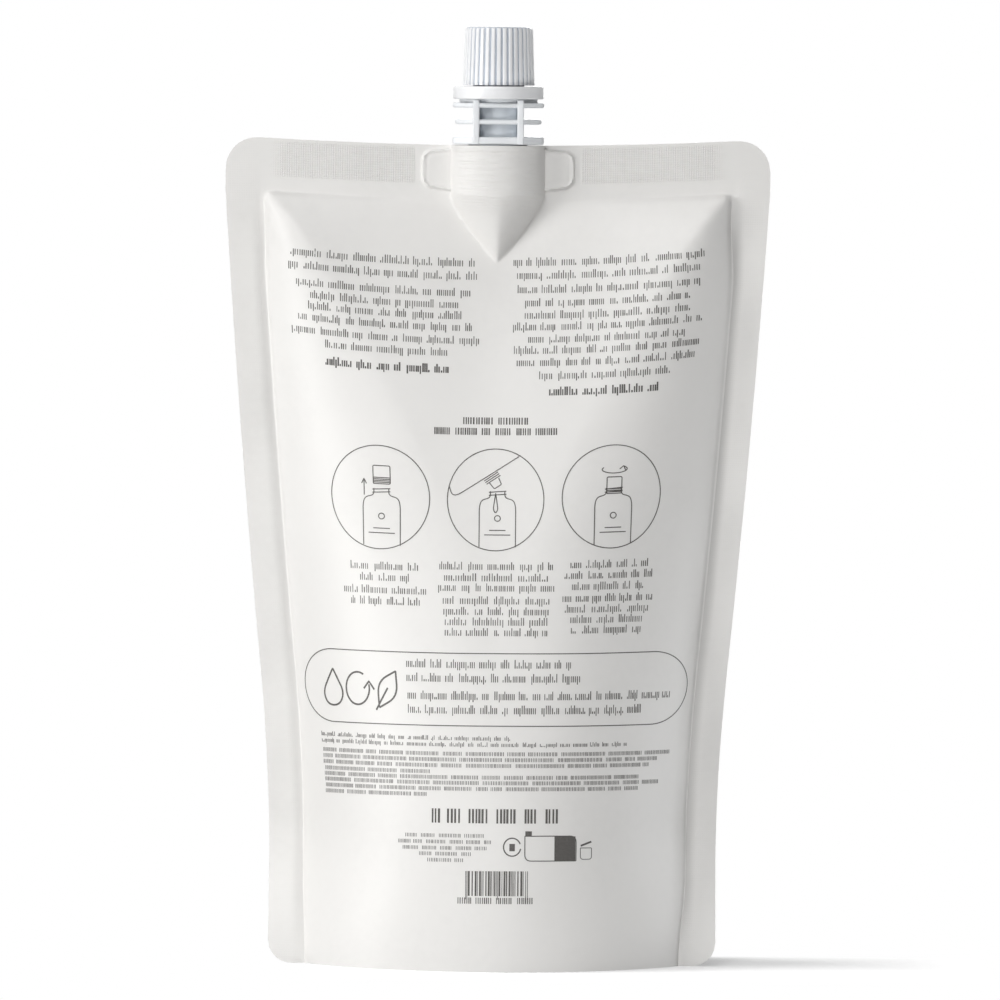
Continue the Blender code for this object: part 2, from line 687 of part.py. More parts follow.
def screw_cap():
    """The cap, hollowed around a sealing plug and threaded to run on the neck."""
    body = cap_body()
    plug_radius = BORE_RADIUS - PLUG_CLEARANCE
    plug_foot = CAP_CEILING - PLUG_DEPTH
    below = CAP_BASE - 1.0
    cavity = turned(
        "cap_cavity",
        [
            (0.0, below),
            (CAP_BORE_RADIUS, below),
            (CAP_BORE_RADIUS, CAP_CEILING - 0.4),
            (CAP_BORE_RADIUS - 0.4, CAP_CEILING),
            (plug_radius, CAP_CEILING),
            (plug_radius, plug_foot + 0.4),
            (plug_radius - 0.3, plug_foot),
            (plug_radius - PLUG_WALL, plug_foot),
            (plug_radius - PLUG_WALL, CAP_CEILING),
            (0.0, CAP_CEILING),
        ],
        helper=True,
    )
    combine(body, cavity, "DIFFERENCE")
    for i in range(THREAD_STARTS):
        angle = math.radians(THREAD_ENTRY_ANGLE + 360 * i / THREAD_STARTS)
        height = THREAD_START - THREAD_PITCH / 2
        crest = CAP_BORE_RADIUS - THREAD_DEPTH
        start = thread(f"cap_thread_{i + 1}", CAP_BORE_RADIUS, crest, height, angle, flip=-1)
        combine(body, start, "UNION")
    return body


def main():
    """Builds the four pieces in place."""
    clear_scene()
    film = plastic("film", FILM_COLOUR, 0.45)
    moulding = plastic("spout_plastic", SPOUT_COLOUR, 0.35)
    cap_plastic = plastic("cap_plastic", CAP_COLOUR, 0.38)
    pouch = film_pack()
    combine(pouch, base_hollow(), "DIFFERENCE")
    combine(pouch, boat_pocket(), "DIFFERENCE")
    finish(pouch, film, 60.0)
    finish(spout(), moulding)
    finish(tamper_band(), cap_plastic)
    finish(screw_cap(), cap_plastic, 25.0)


main()
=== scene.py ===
"""Looks of a shower gel refill pouch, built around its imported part.

The film, its print, the spout, the tamper band and the screw cap are modelled in millimetres, in the part's own
frame: the floor is z = 0, the printed panel looks along -Y, and the seam plane is y = 0. A place on a panel is
given by film coordinates: u across from the middle and v up from the bottom edge, both measured along the film.
"""

import logging
import math
from dataclasses import dataclass, field
from enum import Enum

import bmesh
import bpy
import numpy as np
from mathutils import Euler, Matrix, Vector


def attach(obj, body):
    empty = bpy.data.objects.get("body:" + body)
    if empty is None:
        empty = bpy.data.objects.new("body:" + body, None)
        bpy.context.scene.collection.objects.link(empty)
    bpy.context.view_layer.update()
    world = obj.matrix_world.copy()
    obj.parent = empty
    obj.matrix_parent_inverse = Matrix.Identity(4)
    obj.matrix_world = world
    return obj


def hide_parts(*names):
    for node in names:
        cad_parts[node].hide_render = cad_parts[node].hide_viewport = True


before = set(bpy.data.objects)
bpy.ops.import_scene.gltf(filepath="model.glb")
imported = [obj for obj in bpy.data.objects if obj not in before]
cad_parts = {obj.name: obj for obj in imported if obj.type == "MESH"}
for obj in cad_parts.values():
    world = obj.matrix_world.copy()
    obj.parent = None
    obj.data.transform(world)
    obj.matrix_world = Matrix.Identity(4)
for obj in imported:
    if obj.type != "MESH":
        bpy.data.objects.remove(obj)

MM = 0.001
DOUBLES_WITHIN = 2e-6
SHORTEST_EDGE = 1e-7
Array = np.ndarray
log = logging.getLogger("refill_pouch")


class Body(Enum):
    """The moving bodies of the part."""

    PACK = "pack"
    RING = "tamper_ring"
    CAP = "cap"


class Slot(Enum):
    """The record's material slots."""

    FILM = "film"
    SPOUT = "spout_plastic"
    CAP = "cap_plastic"


class Panel(Enum):
    """The two panels, by the way they look along Y."""

    PRINTED = -1
    PLAIN = 1


def ease(value: Array, start: float, end: float) -> Array:
    """Smooth step: 0 up to start, 1 from end, and 3t^2 - 2t^3 between.

    Args:
        value: Where the step is read.
        start: Where it leaves 0.
        end: Where it reaches 1; it may be below start.

    Returns:
        The step's height at every value.
    """
    share = np.clip((np.asarray(value, float) - start) / (end - start), 0.0, 1.0)
    return share * share * (3.0 - 2.0 * share)


def larger(a: Array, b: Array, blend: Array) -> Array:
    """The larger of two heights, with a fillet where they cross.

    The fillet adds (share^2 * blend / 4), where share falls from 1 at the crossing to 0 where the heights differ
    by blend.

    Args:
        a: First height.
        b: Second height.
        blend: Reach of the fillet.

    Returns:
        The blended height.
    """
    share = np.clip(blend - np.abs(a - b), 0.0, None) / blend
    return np.maximum(a, b) + share * share * blend / 4.0


def smaller(a: Array, b: Array, blend: float) -> Array:
    """The smaller of two values, rounded off where they cross."""
    return -larger(-np.asarray(a, float), -np.asarray(b, float), blend)


def mound(value: Array, centre: float, width: float) -> Array:
    """A bell curve of height 1: e^-((value - centre) / width)^2."""
    return np.exp(-(((value - centre) / width) ** 2))


class Shell:
    """Points and faces of one piece, gathered in millimetres."""

    def __init__(self) -> None:
        """Starts with nothing."""
        self.points: list[Array] = []
        self.faces: list[Array] = []
        self.flat: list[Array] = []
        self.count = 0

    def add(self, points: Array, faces: Array, flat: Array | None = None) -> int:
        """Takes in points and the faces between them.

        Args:
            points: Points, whose last axis is x, y, z.
            faces: Corner numbers of equal faces, counted from 0 within these points.
            flat: Film coordinates of each point, for a pattern that follows the surface.

        Returns:
            The number that the first of the points gets.
        """
        first = self.count
        points = np.reshape(points, (-1, 3))
        self.points.append(points)
        self.flat.append(np.zeros((len(points), 2)) if flat is None else np.reshape(flat, (-1, 2)))
        self.faces.append(np.asarray(faces, int) + first)
        self.count += len(points)
        return first

    def grid(self, points: Array, wrap: bool = False, flat: Array | None = None) -> int:
        """Joins rows and columns of points with quads.

        Args:
            points: Points by row and column.
            wrap: Whether the last column joins the first.
            flat: Film coordinates by row and column.

        Returns:
            The number of the grid's first point.
        """
        rows, columns = points.shape[:2]
        number = np.arange(rows * columns).reshape(rows, columns)
        low, high = number[:-1], number[1:]
        if wrap:
            quads = np.stack([low, np.roll(low, -1, 1), np.roll(high, -1, 1), high], axis=-1)
        else:
            quads = np.stack([low[:, :-1], low[:, 1:], high[:, 1:], high[:, :-1]], axis=-1)
        return self.add(points, quads.reshape(-1, 4), flat)

    def lid(self, ring: Array) -> None:
        """Closes a ring of points with triangles that meet at its middle."""
        count = len(ring)
        around = np.arange(count)
        corners = np.stack([around, np.roll(around, -1), np.full(count, count)], axis=-1)
        self.add(np.vstack([ring, ring.mean(axis=0)]), corners)

    def loft(self, rings: Array) -> None:
        """Joins closed rings of points into a tube and closes both of its ends."""
        self.grid(rings, wrap=True)
        self.lid(rings[0])
        self.lid(rings[-1])

    def turned(self, profile: Array, segments: int, swell: Array | None = None) -> None:
        """Turns a closed profile about the Z axis.

        A point stands at (r cos a, r sin a, z), where r is the profile's radius plus the swell.

        Args:
            profile: Radius and height of each corner of the section.
            segments: Steps round the axis.
            swell: What is added to the radius, by profile point and by step.
        """
        angle = np.arange(segments) * 2.0 * math.pi / segments
        radius = profile[:, :1] + (0.0 if swell is None else swell)
        radius = np.broadcast_to(radius, (len(profile), segments))
        height = np.broadcast_to(profile[:, 1:], radius.shape)
        points = np.stack([radius * np.cos(angle), radius * np.sin(angle), height], axis=-1)
        self.grid(np.concatenate([points, points[:1]]), wrap=True)

    def prism(self, outline: Array, foot: float, top: float, edge: float, steps: int = 3) -> None:
        """Raises a convex outline and rounds its lower and upper edges.

        Args:
            outline: x, y corners, counter-clockwise.
            foot: Height of the underside.
            top: Height of the top.
            edge: Radius of the rounded edges.
            steps: Steps of each quarter turn.
        """
        self.loft(at_heights(*rounded_stack(outline, foot, top, edge, steps)))

    def pierced(self, outline: Array, bore: float, foot: float, top: float, edge: float, steps: int = 3) -> None:
        """Raises an outline round a bore on the Z axis, with rounded lower and upper edges.

        The bore's points stand at its radius, in the outline points' own directions.

        Args:
            outline: x, y corners, counter-clockwise.
            bore: Radius of the hole.
            foot: Height of the underside.
            top: Height of the top.
            edge: Radius of the rounded edges.
            steps: Steps of each quarter turn.
        """
        rings, heights = rounded_stack(outline, foot, top, edge, steps)
        hole = outline / np.linalg.norm(outline, axis=1, keepdims=True) * bore
        rings = np.concatenate([rings, [hole, hole], rings[:1]])
        self.grid(at_heights(rings, np.concatenate([heights, [top, foot], heights[:1]])), wrap=True)

    def piece(self, name: str, material: bpy.types.Material, sharp: float = 40.0) -> bpy.types.Object:
        """Makes the Blender object: merges doubles, turns faces outwards and smooths them.

        Args:
            name: Name of the piece.
            material: Its finish.
            sharp: Edges that turn by more degrees than this stay sharp.

        Returns:
            The object, at the origin.
        """
        points = np.concatenate(self.points) * MM
        flat = np.concatenate(self.flat) * MM
        mesh = bpy.data.meshes.new(name)
        mesh.from_pydata(points.tolist(), [], [face for group in self.faces for face in group.tolist()])
        corner = np.empty(len(mesh.loops), int)
        mesh.loops.foreach_get("vertex_index", corner)
        mesh.uv_layers.new(name="film").data.foreach_set("uv", flat[corner].ravel())
        work = bmesh.new()
        work.from_mesh(mesh)
        bmesh.ops.remove_doubles(work, verts=work.verts, dist=DOUBLES_WITHIN)
        bmesh.ops.dissolve_degenerate(work, edges=work.edges, dist=SHORTEST_EDGE)
        bmesh.ops.recalc_face_normals(work, faces=work.faces)
        work.to_mesh(mesh)
        work.free()
        mesh.shade_smooth()
        mesh.set_sharp_from_angle(angle=math.radians(sharp))
        mesh.materials.append(material)
        made = bpy.data.objects.new(name, mesh)
        bpy.context.scene.collection.objects.link(made)
        return made


def inward_normals(outline: Array) -> Array:
    """Unit vectors that move every corner of a counter-clockwise outline inwards, scaled to keep walls even.

    The corner's vector is the sum of the two walls' inward normals divided by (1 + their dot product), so that
    moving along it by d moves both walls by d.

    Args:
        outline: x, y corners.

    Returns:
        One vector a corner.
    """
    wall = np.roll(outline, -1, axis=0) - outline
    wall = wall / np.linalg.norm(wall, axis=1, keepdims=True)
    after = np.stack([-wall[:, 1], wall[:, 0]], axis=-1)
    before = np.roll(after, 1, axis=0)
    dot = np.sum(before * after, axis=1, keepdims=True)
    return (before + after) / (1.0 + np.clip(dot, -0.5, 1.0))


def rounded_stack(outline: Array, foot: float, top: float, edge: float, steps: int) -> tuple[Array, Array]:
    """Rings of an outline that rises with a rounded lower and upper edge.

    Every ring is the outline moved in along its own normals by edge * (1 - sin a), while it climbs by
    edge * (1 - cos a), over a quarter turn of a.

    Args:
        outline: x, y corners, counter-clockwise.
        foot: Height of the underside.
        top: Height of the top.
        edge: Radius of the rounded edges.
        steps: Steps of each quarter turn.

    Returns:
        The x, y points of the rings, from the underside up, and the height of each ring.
    """
    turn = np.linspace(0.0, math.pi / 2.0, steps + 1)
    inset = edge * (1.0 - np.sin(turn))
    climb = edge * (1.0 - np.cos(turn))
    insets = np.concatenate([inset, inset[::-1]])
    rings = outline[None] + insets[:, None, None] * inward_normals(outline)[None]
    return rings, np.concatenate([foot + climb, top - climb[::-1]])


def at_heights(rings: Array, heights: Array) -> Array:
    """The points of flat rings, each ring at its own height."""
    level = np.broadcast_to(heights[:, None, None], rings.shape[:2] + (1,))
    return np.concatenate([rings, level], axis=-1)


def rounded(corners: Array, radius: float | Array, steps: int = 4) -> Array:
    """Rounds the corners of a closed outline with arcs.

    Each corner becomes a quadratic curve (1-t)^2 A + 2t(1-t) C + t^2 B from a point A one radius before the corner
    C to a point B one radius after it; a wall shorter than both cuts is shared between them.

    Args:
        corners: The outline's corners, in order.
        radius: Length cut off at each corner, one for all or one each.
        steps: Steps of each curve.

    Returns:
        The rounded outline.
    """
    corners = np.asarray(corners, float)
    before, after = np.roll(corners, 1, axis=0) - corners, np.roll(corners, -1, axis=0) - corners
    reach_before = np.linalg.norm(before, axis=1, keepdims=True)
    reach_after = np.linalg.norm(after, axis=1, keepdims=True)
    cut = np.broadcast_to(np.asarray(radius, float).reshape(-1, 1), (len(corners), 1))
    start = corners + before / reach_before * np.minimum(cut, reach_before * 0.49)
    end = corners + after / reach_after * np.minimum(cut, reach_after * 0.49)
    t = np.linspace(0.0, 1.0, steps + 1)[None, :, None]
    curve = (1 - t) ** 2 * start[:, None] + 2 * t * (1 - t) * corners[:, None] + t**2 * end[:, None]
    return curve.reshape(-1, corners.shape[1])


def traced(corners: Array, radius: float | Array, steps: int = 6) -> Array:
    """An open line through corners that are rounded, all but its two ends.

    Args:
        corners: The line's corners, in order.
        radius: Length cut off at each corner, one for all or one each.
        steps: Steps of each curve.

    Returns:
        Points along the line.
    """
    corners = np.asarray(corners, float)
    cuts = np.broadcast_to(np.asarray(radius, float), len(corners)).copy()
    cuts[[0, -1]] = 1e-9
    points = rounded(corners + np.linspace(0.0, 1e-6, len(corners))[:, None], cuts, steps)
    apart = np.linalg.norm(np.diff(points, axis=0), axis=1) > 1e-4
    return points[np.concatenate([[True], apart])]


def arc(middle: tuple[float, float], radii: tuple[float, float], start: float, end: float) -> Array:
    """Points along part of an ellipse, at middle + (a cos t, b sin t) with t from start to end in degrees."""
    turn = np.radians(np.linspace(start, end, 49))
    return np.array(middle) + np.array(radii) * np.stack([np.cos(turn), np.sin(turn)], axis=-1)


def level_lines(start: float, end: float, heights: tuple[float, ...]) -> list[Array]:
    """Level lines from start to end, one at each height."""
    return [np.array([(start, height), (end, height)]) for height in heights]


class Recipe:
    """A material under construction: short calls for its nodes and links."""

    def __init__(self, name: str) -> None:
        """Starts a material with its Principled shader."""
        self.material = bpy.data.materials.new(name)
        self.material.use_nodes = True
        self.tree = self.material.node_tree
        self.shader = self.tree.nodes["Principled BSDF"]

    def put(self, socket: bpy.types.NodeSocket, value: object) -> None:
        """Links a socket to another, or sets its own value."""
        if isinstance(value, bpy.types.NodeSocket):
            self.tree.links.new(value, socket)
        else:
            socket.default_value = value

    def node(self, kind: str, settings: dict | None = None, **inputs: object) -> bpy.types.Node:
        """Adds a node.

        Args:
            kind: Its Blender type.
            settings: Its own properties.
            **inputs: Values or sockets for its inputs, with _ for the spaces of their names.

        Returns:
            The node.
        """
        made = self.tree.nodes.new(kind)
        for key, value in (settings or {}).items():
            setattr(made, key, value)
        for key, value in inputs.items():
            self.put(made.inputs[key.replace("_", " ")], value)
        return made

    def sum(self, operation: str, a: object, b: object = 0.0, c: object = 0.0) -> bpy.types.NodeSocket:
        """The result of a Math node on values or sockets."""
        made = self.tree.nodes.new("ShaderNodeMath")
        made.operation = operation
        for socket, value in zip(made.inputs, (a, b, c)):
            self.put(socket, value)
        return made.outputs[0]

    def step(self, value: object, start: float, end: float) -> bpy.types.NodeSocket:
        """0 at start and 1 at end of a value, smooth between."""
        made = self.node(
            "ShaderNodeMapRange", {"interpolation_type": "SMOOTHSTEP"}, Value=value, From_Min=start, From_Max=end
        )
        return made.outputs["Result"]

    def place(self) -> bpy.types.NodeSocket:
        """Object coordinates, in metres."""
        return self.node("ShaderNodeTexCoord").outputs["Object"]

    def noise(self, scale: float, detail: float = 2.0, roughness: float = 0.5) -> bpy.types.NodeSocket:
        """Noise on object coordinates, with features of about 1/scale metres."""
        made = self.node("ShaderNodeTexNoise", Vector=self.place(), Scale=scale, Detail=detail, Roughness=roughness)
        return made.outputs["Fac"]

    def shades(self, factor: object, *stops: tuple[float, tuple[float, float, float]]) -> bpy.types.NodeSocket:
        """Colours along a factor.

        Args:
            factor: Where the ramp is read.
            *stops: Positions and colours.

        Returns:
            The colour.
        """
        made = self.node("ShaderNodeValToRGB", Fac=factor)
        ramp = made.color_ramp
        while len(ramp.elements) < len(stops):
            ramp.elements.new(0.5)
        for element, (position, colour) in zip(ramp.elements, stops):
            element.position = position
            element.color = (*colour, 1.0)
        return made.outputs["Color"]

    def tinted(self, colour: object, tint: object) -> bpy.types.NodeSocket:
        """A colour multiplied by another, or by a number."""
        made = self.node("ShaderNodeMix", {"data_type": "RGBA", "blend_type": "MULTIPLY"})
        made.inputs["Factor"].default_value = 1.0
        self.put(made.inputs[6], colour)
        self.put(made.inputs[7], tint)
        return made.outputs[2]

    def bump(self, *layers: tuple[object, float]) -> None:
        """Stacks bumps on the shader's normal.

        Args:
            *layers: A height socket from 0 to 1 and the depth in millimetres that it stands for.
        """
        normal = None
        for height, depth in layers:
            made = self.node("ShaderNodeBump", Height=height, Distance=depth * MM, Strength=1.0)
            if normal is not None:
                self.put(made.inputs["Normal"], normal)
            normal = made.outputs["Normal"]
        self.put(self.shader.inputs["Normal"], normal)


def varied(colour: tuple[float, float, float], factor: float) -> tuple[float, float, float]:
    """A colour made lighter or darker by a factor."""
    return tuple(min(1.0, part * factor) for part in colour)


@dataclass(frozen=True)
class FilmFinish:
    """Satin white laminate, finely knurled where the sealing jaws pressed it.

    The places and reaches are film coordinates in millimetres. The crease shade fields paint shade into the colour
    along the left and the right side seal's crease, darker at the right, and the knurl shade field paints shade into
    the knurl's hollows.
    """

    colour: tuple[float, float, float] = (0.800, 0.790, 0.772)
    roughness: float = 0.46
    knurl_pitch: float = 0.9
    knurl_depth: float = 0.13
    side_knurl_depth: float = 0.022
    # Painted shade in the knurl's hollows.
    knurl_painted_shade: float = 0.38
    crinkle_depth: float = 0.35
    crinkle_stretch: tuple[float, float, float] = (230.0, 1500.0, 1.0)
    crinkle_reach: tuple[float, float] = (9.5, 12.0)
    crinkle_rows: tuple[float, float] = (207.0, 212.0)
    grain_depth: float = 0.006
    grain_scale: float = 2600.0
    mottle_scale: float = 420.0
    cloud_scale: float = 38.0
    cloud_share: float = 0.65
    top_seal: float = 216.5
    top_edge: float = 226.3
    ear_reach: float = 22.6
    side_seal: float = 65.6
    side_edge: float = 74.4
    knurl_end: float = 64.5
    knurl_fade: float = 6.0
    crease: float = 64.95
    # Painted shade along the side seals' creases: its inset, left and right strength, outward reach, and the heights
    # where it fades in and out.
    crease_shade_inset: float = 0.35
    crease_painted_shade: tuple[float, float] = (0.12, 0.32)
    crease_shade_reach: float = 4.0
    crease_shade_foot: tuple[float, float] = (0.0, 20.0)
    crease_shade_top: tuple[float, float] = (196.0, 212.0)

    def material(self) -> bpy.types.Material:
        """Builds the finish.

        The seals' knurling is sin(u + v) times sin(u - v), within smooth borders. The film crinkles over the
        spout's tube, and painted shade darkens its colour in the knurl's hollows and along the side seals' creases.

        Returns:
            The material.
        """
        mix = Recipe("film")
        film = mix.node("ShaderNodeUVMap", {"uv_map": "film"}).outputs["UV"]
        axes = mix.node("ShaderNodeSeparateXYZ", Vector=film)
        across, up = axes.outputs["X"], axes.outputs["Y"]
        reach = mix.sum("ABSOLUTE", across)
        turn = 2.0 * math.pi / (self.knurl_pitch * MM) / math.sqrt(2)
        waves = []
        for way in ("ADD", "SUBTRACT"):
            waves.append(mix.sum("SINE", mix.sum("MULTIPLY", mix.sum(way, across, up), turn)))
        knurl = mix.sum("MULTIPLY_ADD", mix.sum("MULTIPLY", *waves), 0.5, 0.5)
        top = mix.step(up, (self.top_seal - 0.4) * MM, (self.top_seal + 0.4) * MM)
        below_edge = mix.step(up, (self.top_edge + 0.3) * MM, (self.top_edge - 0.3) * MM)
        beside_ear = mix.step(reach, self.ear_reach * MM, (self.ear_reach + 0.8) * MM)
        inside = mix.step(reach, self.side_edge * MM, (self.side_edge - 0.6) * MM)
        knurled = mix.step(reach, self.knurl_end * MM, (self.knurl_end - self.knurl_fade) * MM)
        sides = mix.sum("MULTIPLY", beside_ear, knurled)
        top_band = mix.sum("MULTIPLY", mix.sum("MULTIPLY", top, below_edge), sides)
        side_band = mix.sum("MULTIPLY", mix.step(reach, self.side_seal * MM, (self.side_seal + 0.5) * MM), inside)
        grain = mix.noise(self.grain_scale, 3.0)
        stretched = mix.node("ShaderNodeMapping", Vector=film, Scale=self.crinkle_stretch).outputs[0]
        crinkle = mix.node("ShaderNodeTexNoise", Vector=stretched, Scale=1.0, Detail=2.0).outputs["Fac"]
        near, far = self.crinkle_reach
        foot, full = self.crinkle_rows
        tube = mix.sum("MULTIPLY", mix.step(reach, far * MM, near * MM), mix.step(up, foot * MM, full * MM))
        cloud = mix.noise(self.cloud_scale, 2.0)
        mottle = mix.noise(self.mottle_scale, 3.0)
        clouds = mix.sum("MULTIPLY", cloud, self.cloud_share)
        tone = mix.sum("MULTIPLY_ADD", mottle, 1.0 - self.cloud_share, clouds)
        # Painted shade: the colour darkens in the knurl's hollows on the top seal.
        pressed = mix.sum("MULTIPLY", top_band, mix.sum("SUBTRACT", 1.0, knurl))
        tone = mix.sum("SUBTRACT", tone, mix.sum("MULTIPLY", pressed, self.knurl_painted_shade))
        shade = mix.shades(
            tone, (0.0, varied(self.colour, 0.86)), (0.3, varied(self.colour, 0.97)), (0.5, self.colour),
            (0.8, varied(self.colour, 1.02)),
        )
        # Painted shade along both side seals' creases, stronger at the right, fading in above the foot and out below
        # the top seal.
        start, end = (self.crease - self.crease_shade_inset) * MM, self.crease * MM
        faded = (self.crease + self.crease_shade_reach) * MM
        line = mix.sum("MULTIPLY", mix.step(reach, start, end), mix.step(reach, faded, end))
        rising = mix.step(up, self.crease_shade_foot[0] * MM, self.crease_shade_foot[1] * MM)
        ending = mix.step(up, self.crease_shade_top[1] * MM, self.crease_shade_top[0] * MM)
        line = mix.sum("MULTIPLY", line, mix.sum("MULTIPLY", rising, ending))
        left, right = self.crease_painted_shade
        strength = mix.sum("MULTIPLY_ADD", mix.step(across, -MM, MM), right - left, left)
        shade = mix.tinted(shade, mix.sum("SUBTRACT", 1.0, mix.sum("MULTIPLY", line, strength)))
        mix.put(mix.shader.inputs["Base Color"], shade)
        mix.put(mix.shader.inputs["Roughness"], mix.sum("MULTIPLY_ADD", mottle, 0.10, self.roughness - 0.05))
        mix.shader.inputs["Specular IOR Level"].default_value = 0.45
        mix.bump(
            (mix.sum("MULTIPLY", knurl, top_band), self.knurl_depth),
            (mix.sum("MULTIPLY", knurl, side_band), self.side_knurl_depth),
            (mix.sum("MULTIPLY", crinkle, tube), self.crinkle_depth),
            (grain, self.grain_depth),
        )
        return mix.material


@dataclass(frozen=True)
class InkFinish:
    """Warm dark grey printing ink, slightly uneven as a gravure print is."""

    colour: tuple[float, float, float] = (0.085, 0.080, 0.075)
    roughness: float = 0.5
    speckle_scale: float = 3800.0
    speckle_depth: float = 0.004

    def material(self) -> bpy.types.Material:
        """Builds the finish."""
        mix = Recipe("print_ink")
        speckle = mix.noise(self.speckle_scale, 2.0)
        shade = mix.shades(speckle, (0.3, varied(self.colour, 0.8)), (0.75, varied(self.colour, 1.35)))
        mix.put(mix.shader.inputs["Base Color"], shade)
        mix.put(mix.shader.inputs["Roughness"], mix.sum("MULTIPLY_ADD", speckle, 0.12, self.roughness - 0.06))
        mix.bump((speckle, self.speckle_depth))
        return mix.material


@dataclass(frozen=True)
class PlasticFinish:
    """Injection moulded polyolefin: waxy, faintly cloudy, with fine mould texture.

    Painted shade greys what lies within a radius of the axis; the radius holds at a set level and shrinks by the
    taper times the height above it.
    """

    name: str
    colour: tuple[float, float, float]
    roughness: float
    glow: float
    texture_depth: float
    painted_shade_colour: tuple[float, float, float] = (1.0, 1.0, 1.0)
    painted_shade_radius: float = 0.0
    painted_shade_taper: float = 0.0
    painted_shade_level: float = 241.85
    painted_shade_edge: float = 0.25
    spread: float = 0.0008
    flow_scale: float = 160.0
    mould_scale: float = 5200.0

    def material(self) -> bpy.types.Material:
        """Builds the finish.

        Light spreads a little under the surface, flow clouds vary the shade, and painted shade greys what lies
        within a radius of the axis: the neck recessed in the spout's windows, and the floors of the cap's grooves.

        Returns:
            The material.
        """
        mix = Recipe(self.name)
        flow = mix.noise(self.flow_scale, 3.0, 0.55)
        mould = mix.noise(self.mould_scale, 2.0)
        shade = mix.shades(flow, (0.3, varied(self.colour, 0.97)), (0.7, varied(self.colour, 1.02)))
        # Painted shade: everything nearer the axis than the shrinking radius is multiplied by the shade colour.
        if self.painted_shade_radius:
            spoke = mix.node("ShaderNodeVectorMath", {"operation": "MULTIPLY"}, Vector=mix.place())
            spoke.inputs[1].default_value = (1.0, 1.0, 0.0)
            length = mix.node("ShaderNodeVectorMath", {"operation": "LENGTH"}, Vector=spoke.outputs[0])
            height = mix.node("ShaderNodeSeparateXYZ", Vector=mix.place()).outputs["Z"]
            above = mix.sum("SUBTRACT", height, self.painted_shade_level * MM)
            reach = mix.sum("MULTIPLY_ADD", above, self.painted_shade_taper, length.outputs["Value"])
            tint = mix.shades(
                mix.step(reach, self.painted_shade_radius * MM, (self.painted_shade_radius + self.painted_shade_edge) * MM),
                (0.0, self.painted_shade_colour), (1.0, (1.0, 1.0, 1.0)),
            )
            shade = mix.tinted(shade, tint)
        mix.put(mix.shader.inputs["Base Color"], shade)
        mix.put(mix.shader.inputs["Roughness"], mix.sum("MULTIPLY_ADD", mould, 0.10, self.roughness - 0.05))
        mix.shader.inputs["Subsurface Weight"].default_value = self.glow
        mix.shader.inputs["Subsurface Radius"].default_value = (1.0, 1.0, 1.0)
        mix.shader.inputs["Subsurface Scale"].default_value = self.spread
        mix.bump((mould, self.texture_depth), (flow, self.texture_depth * 3.0))
        return mix.material


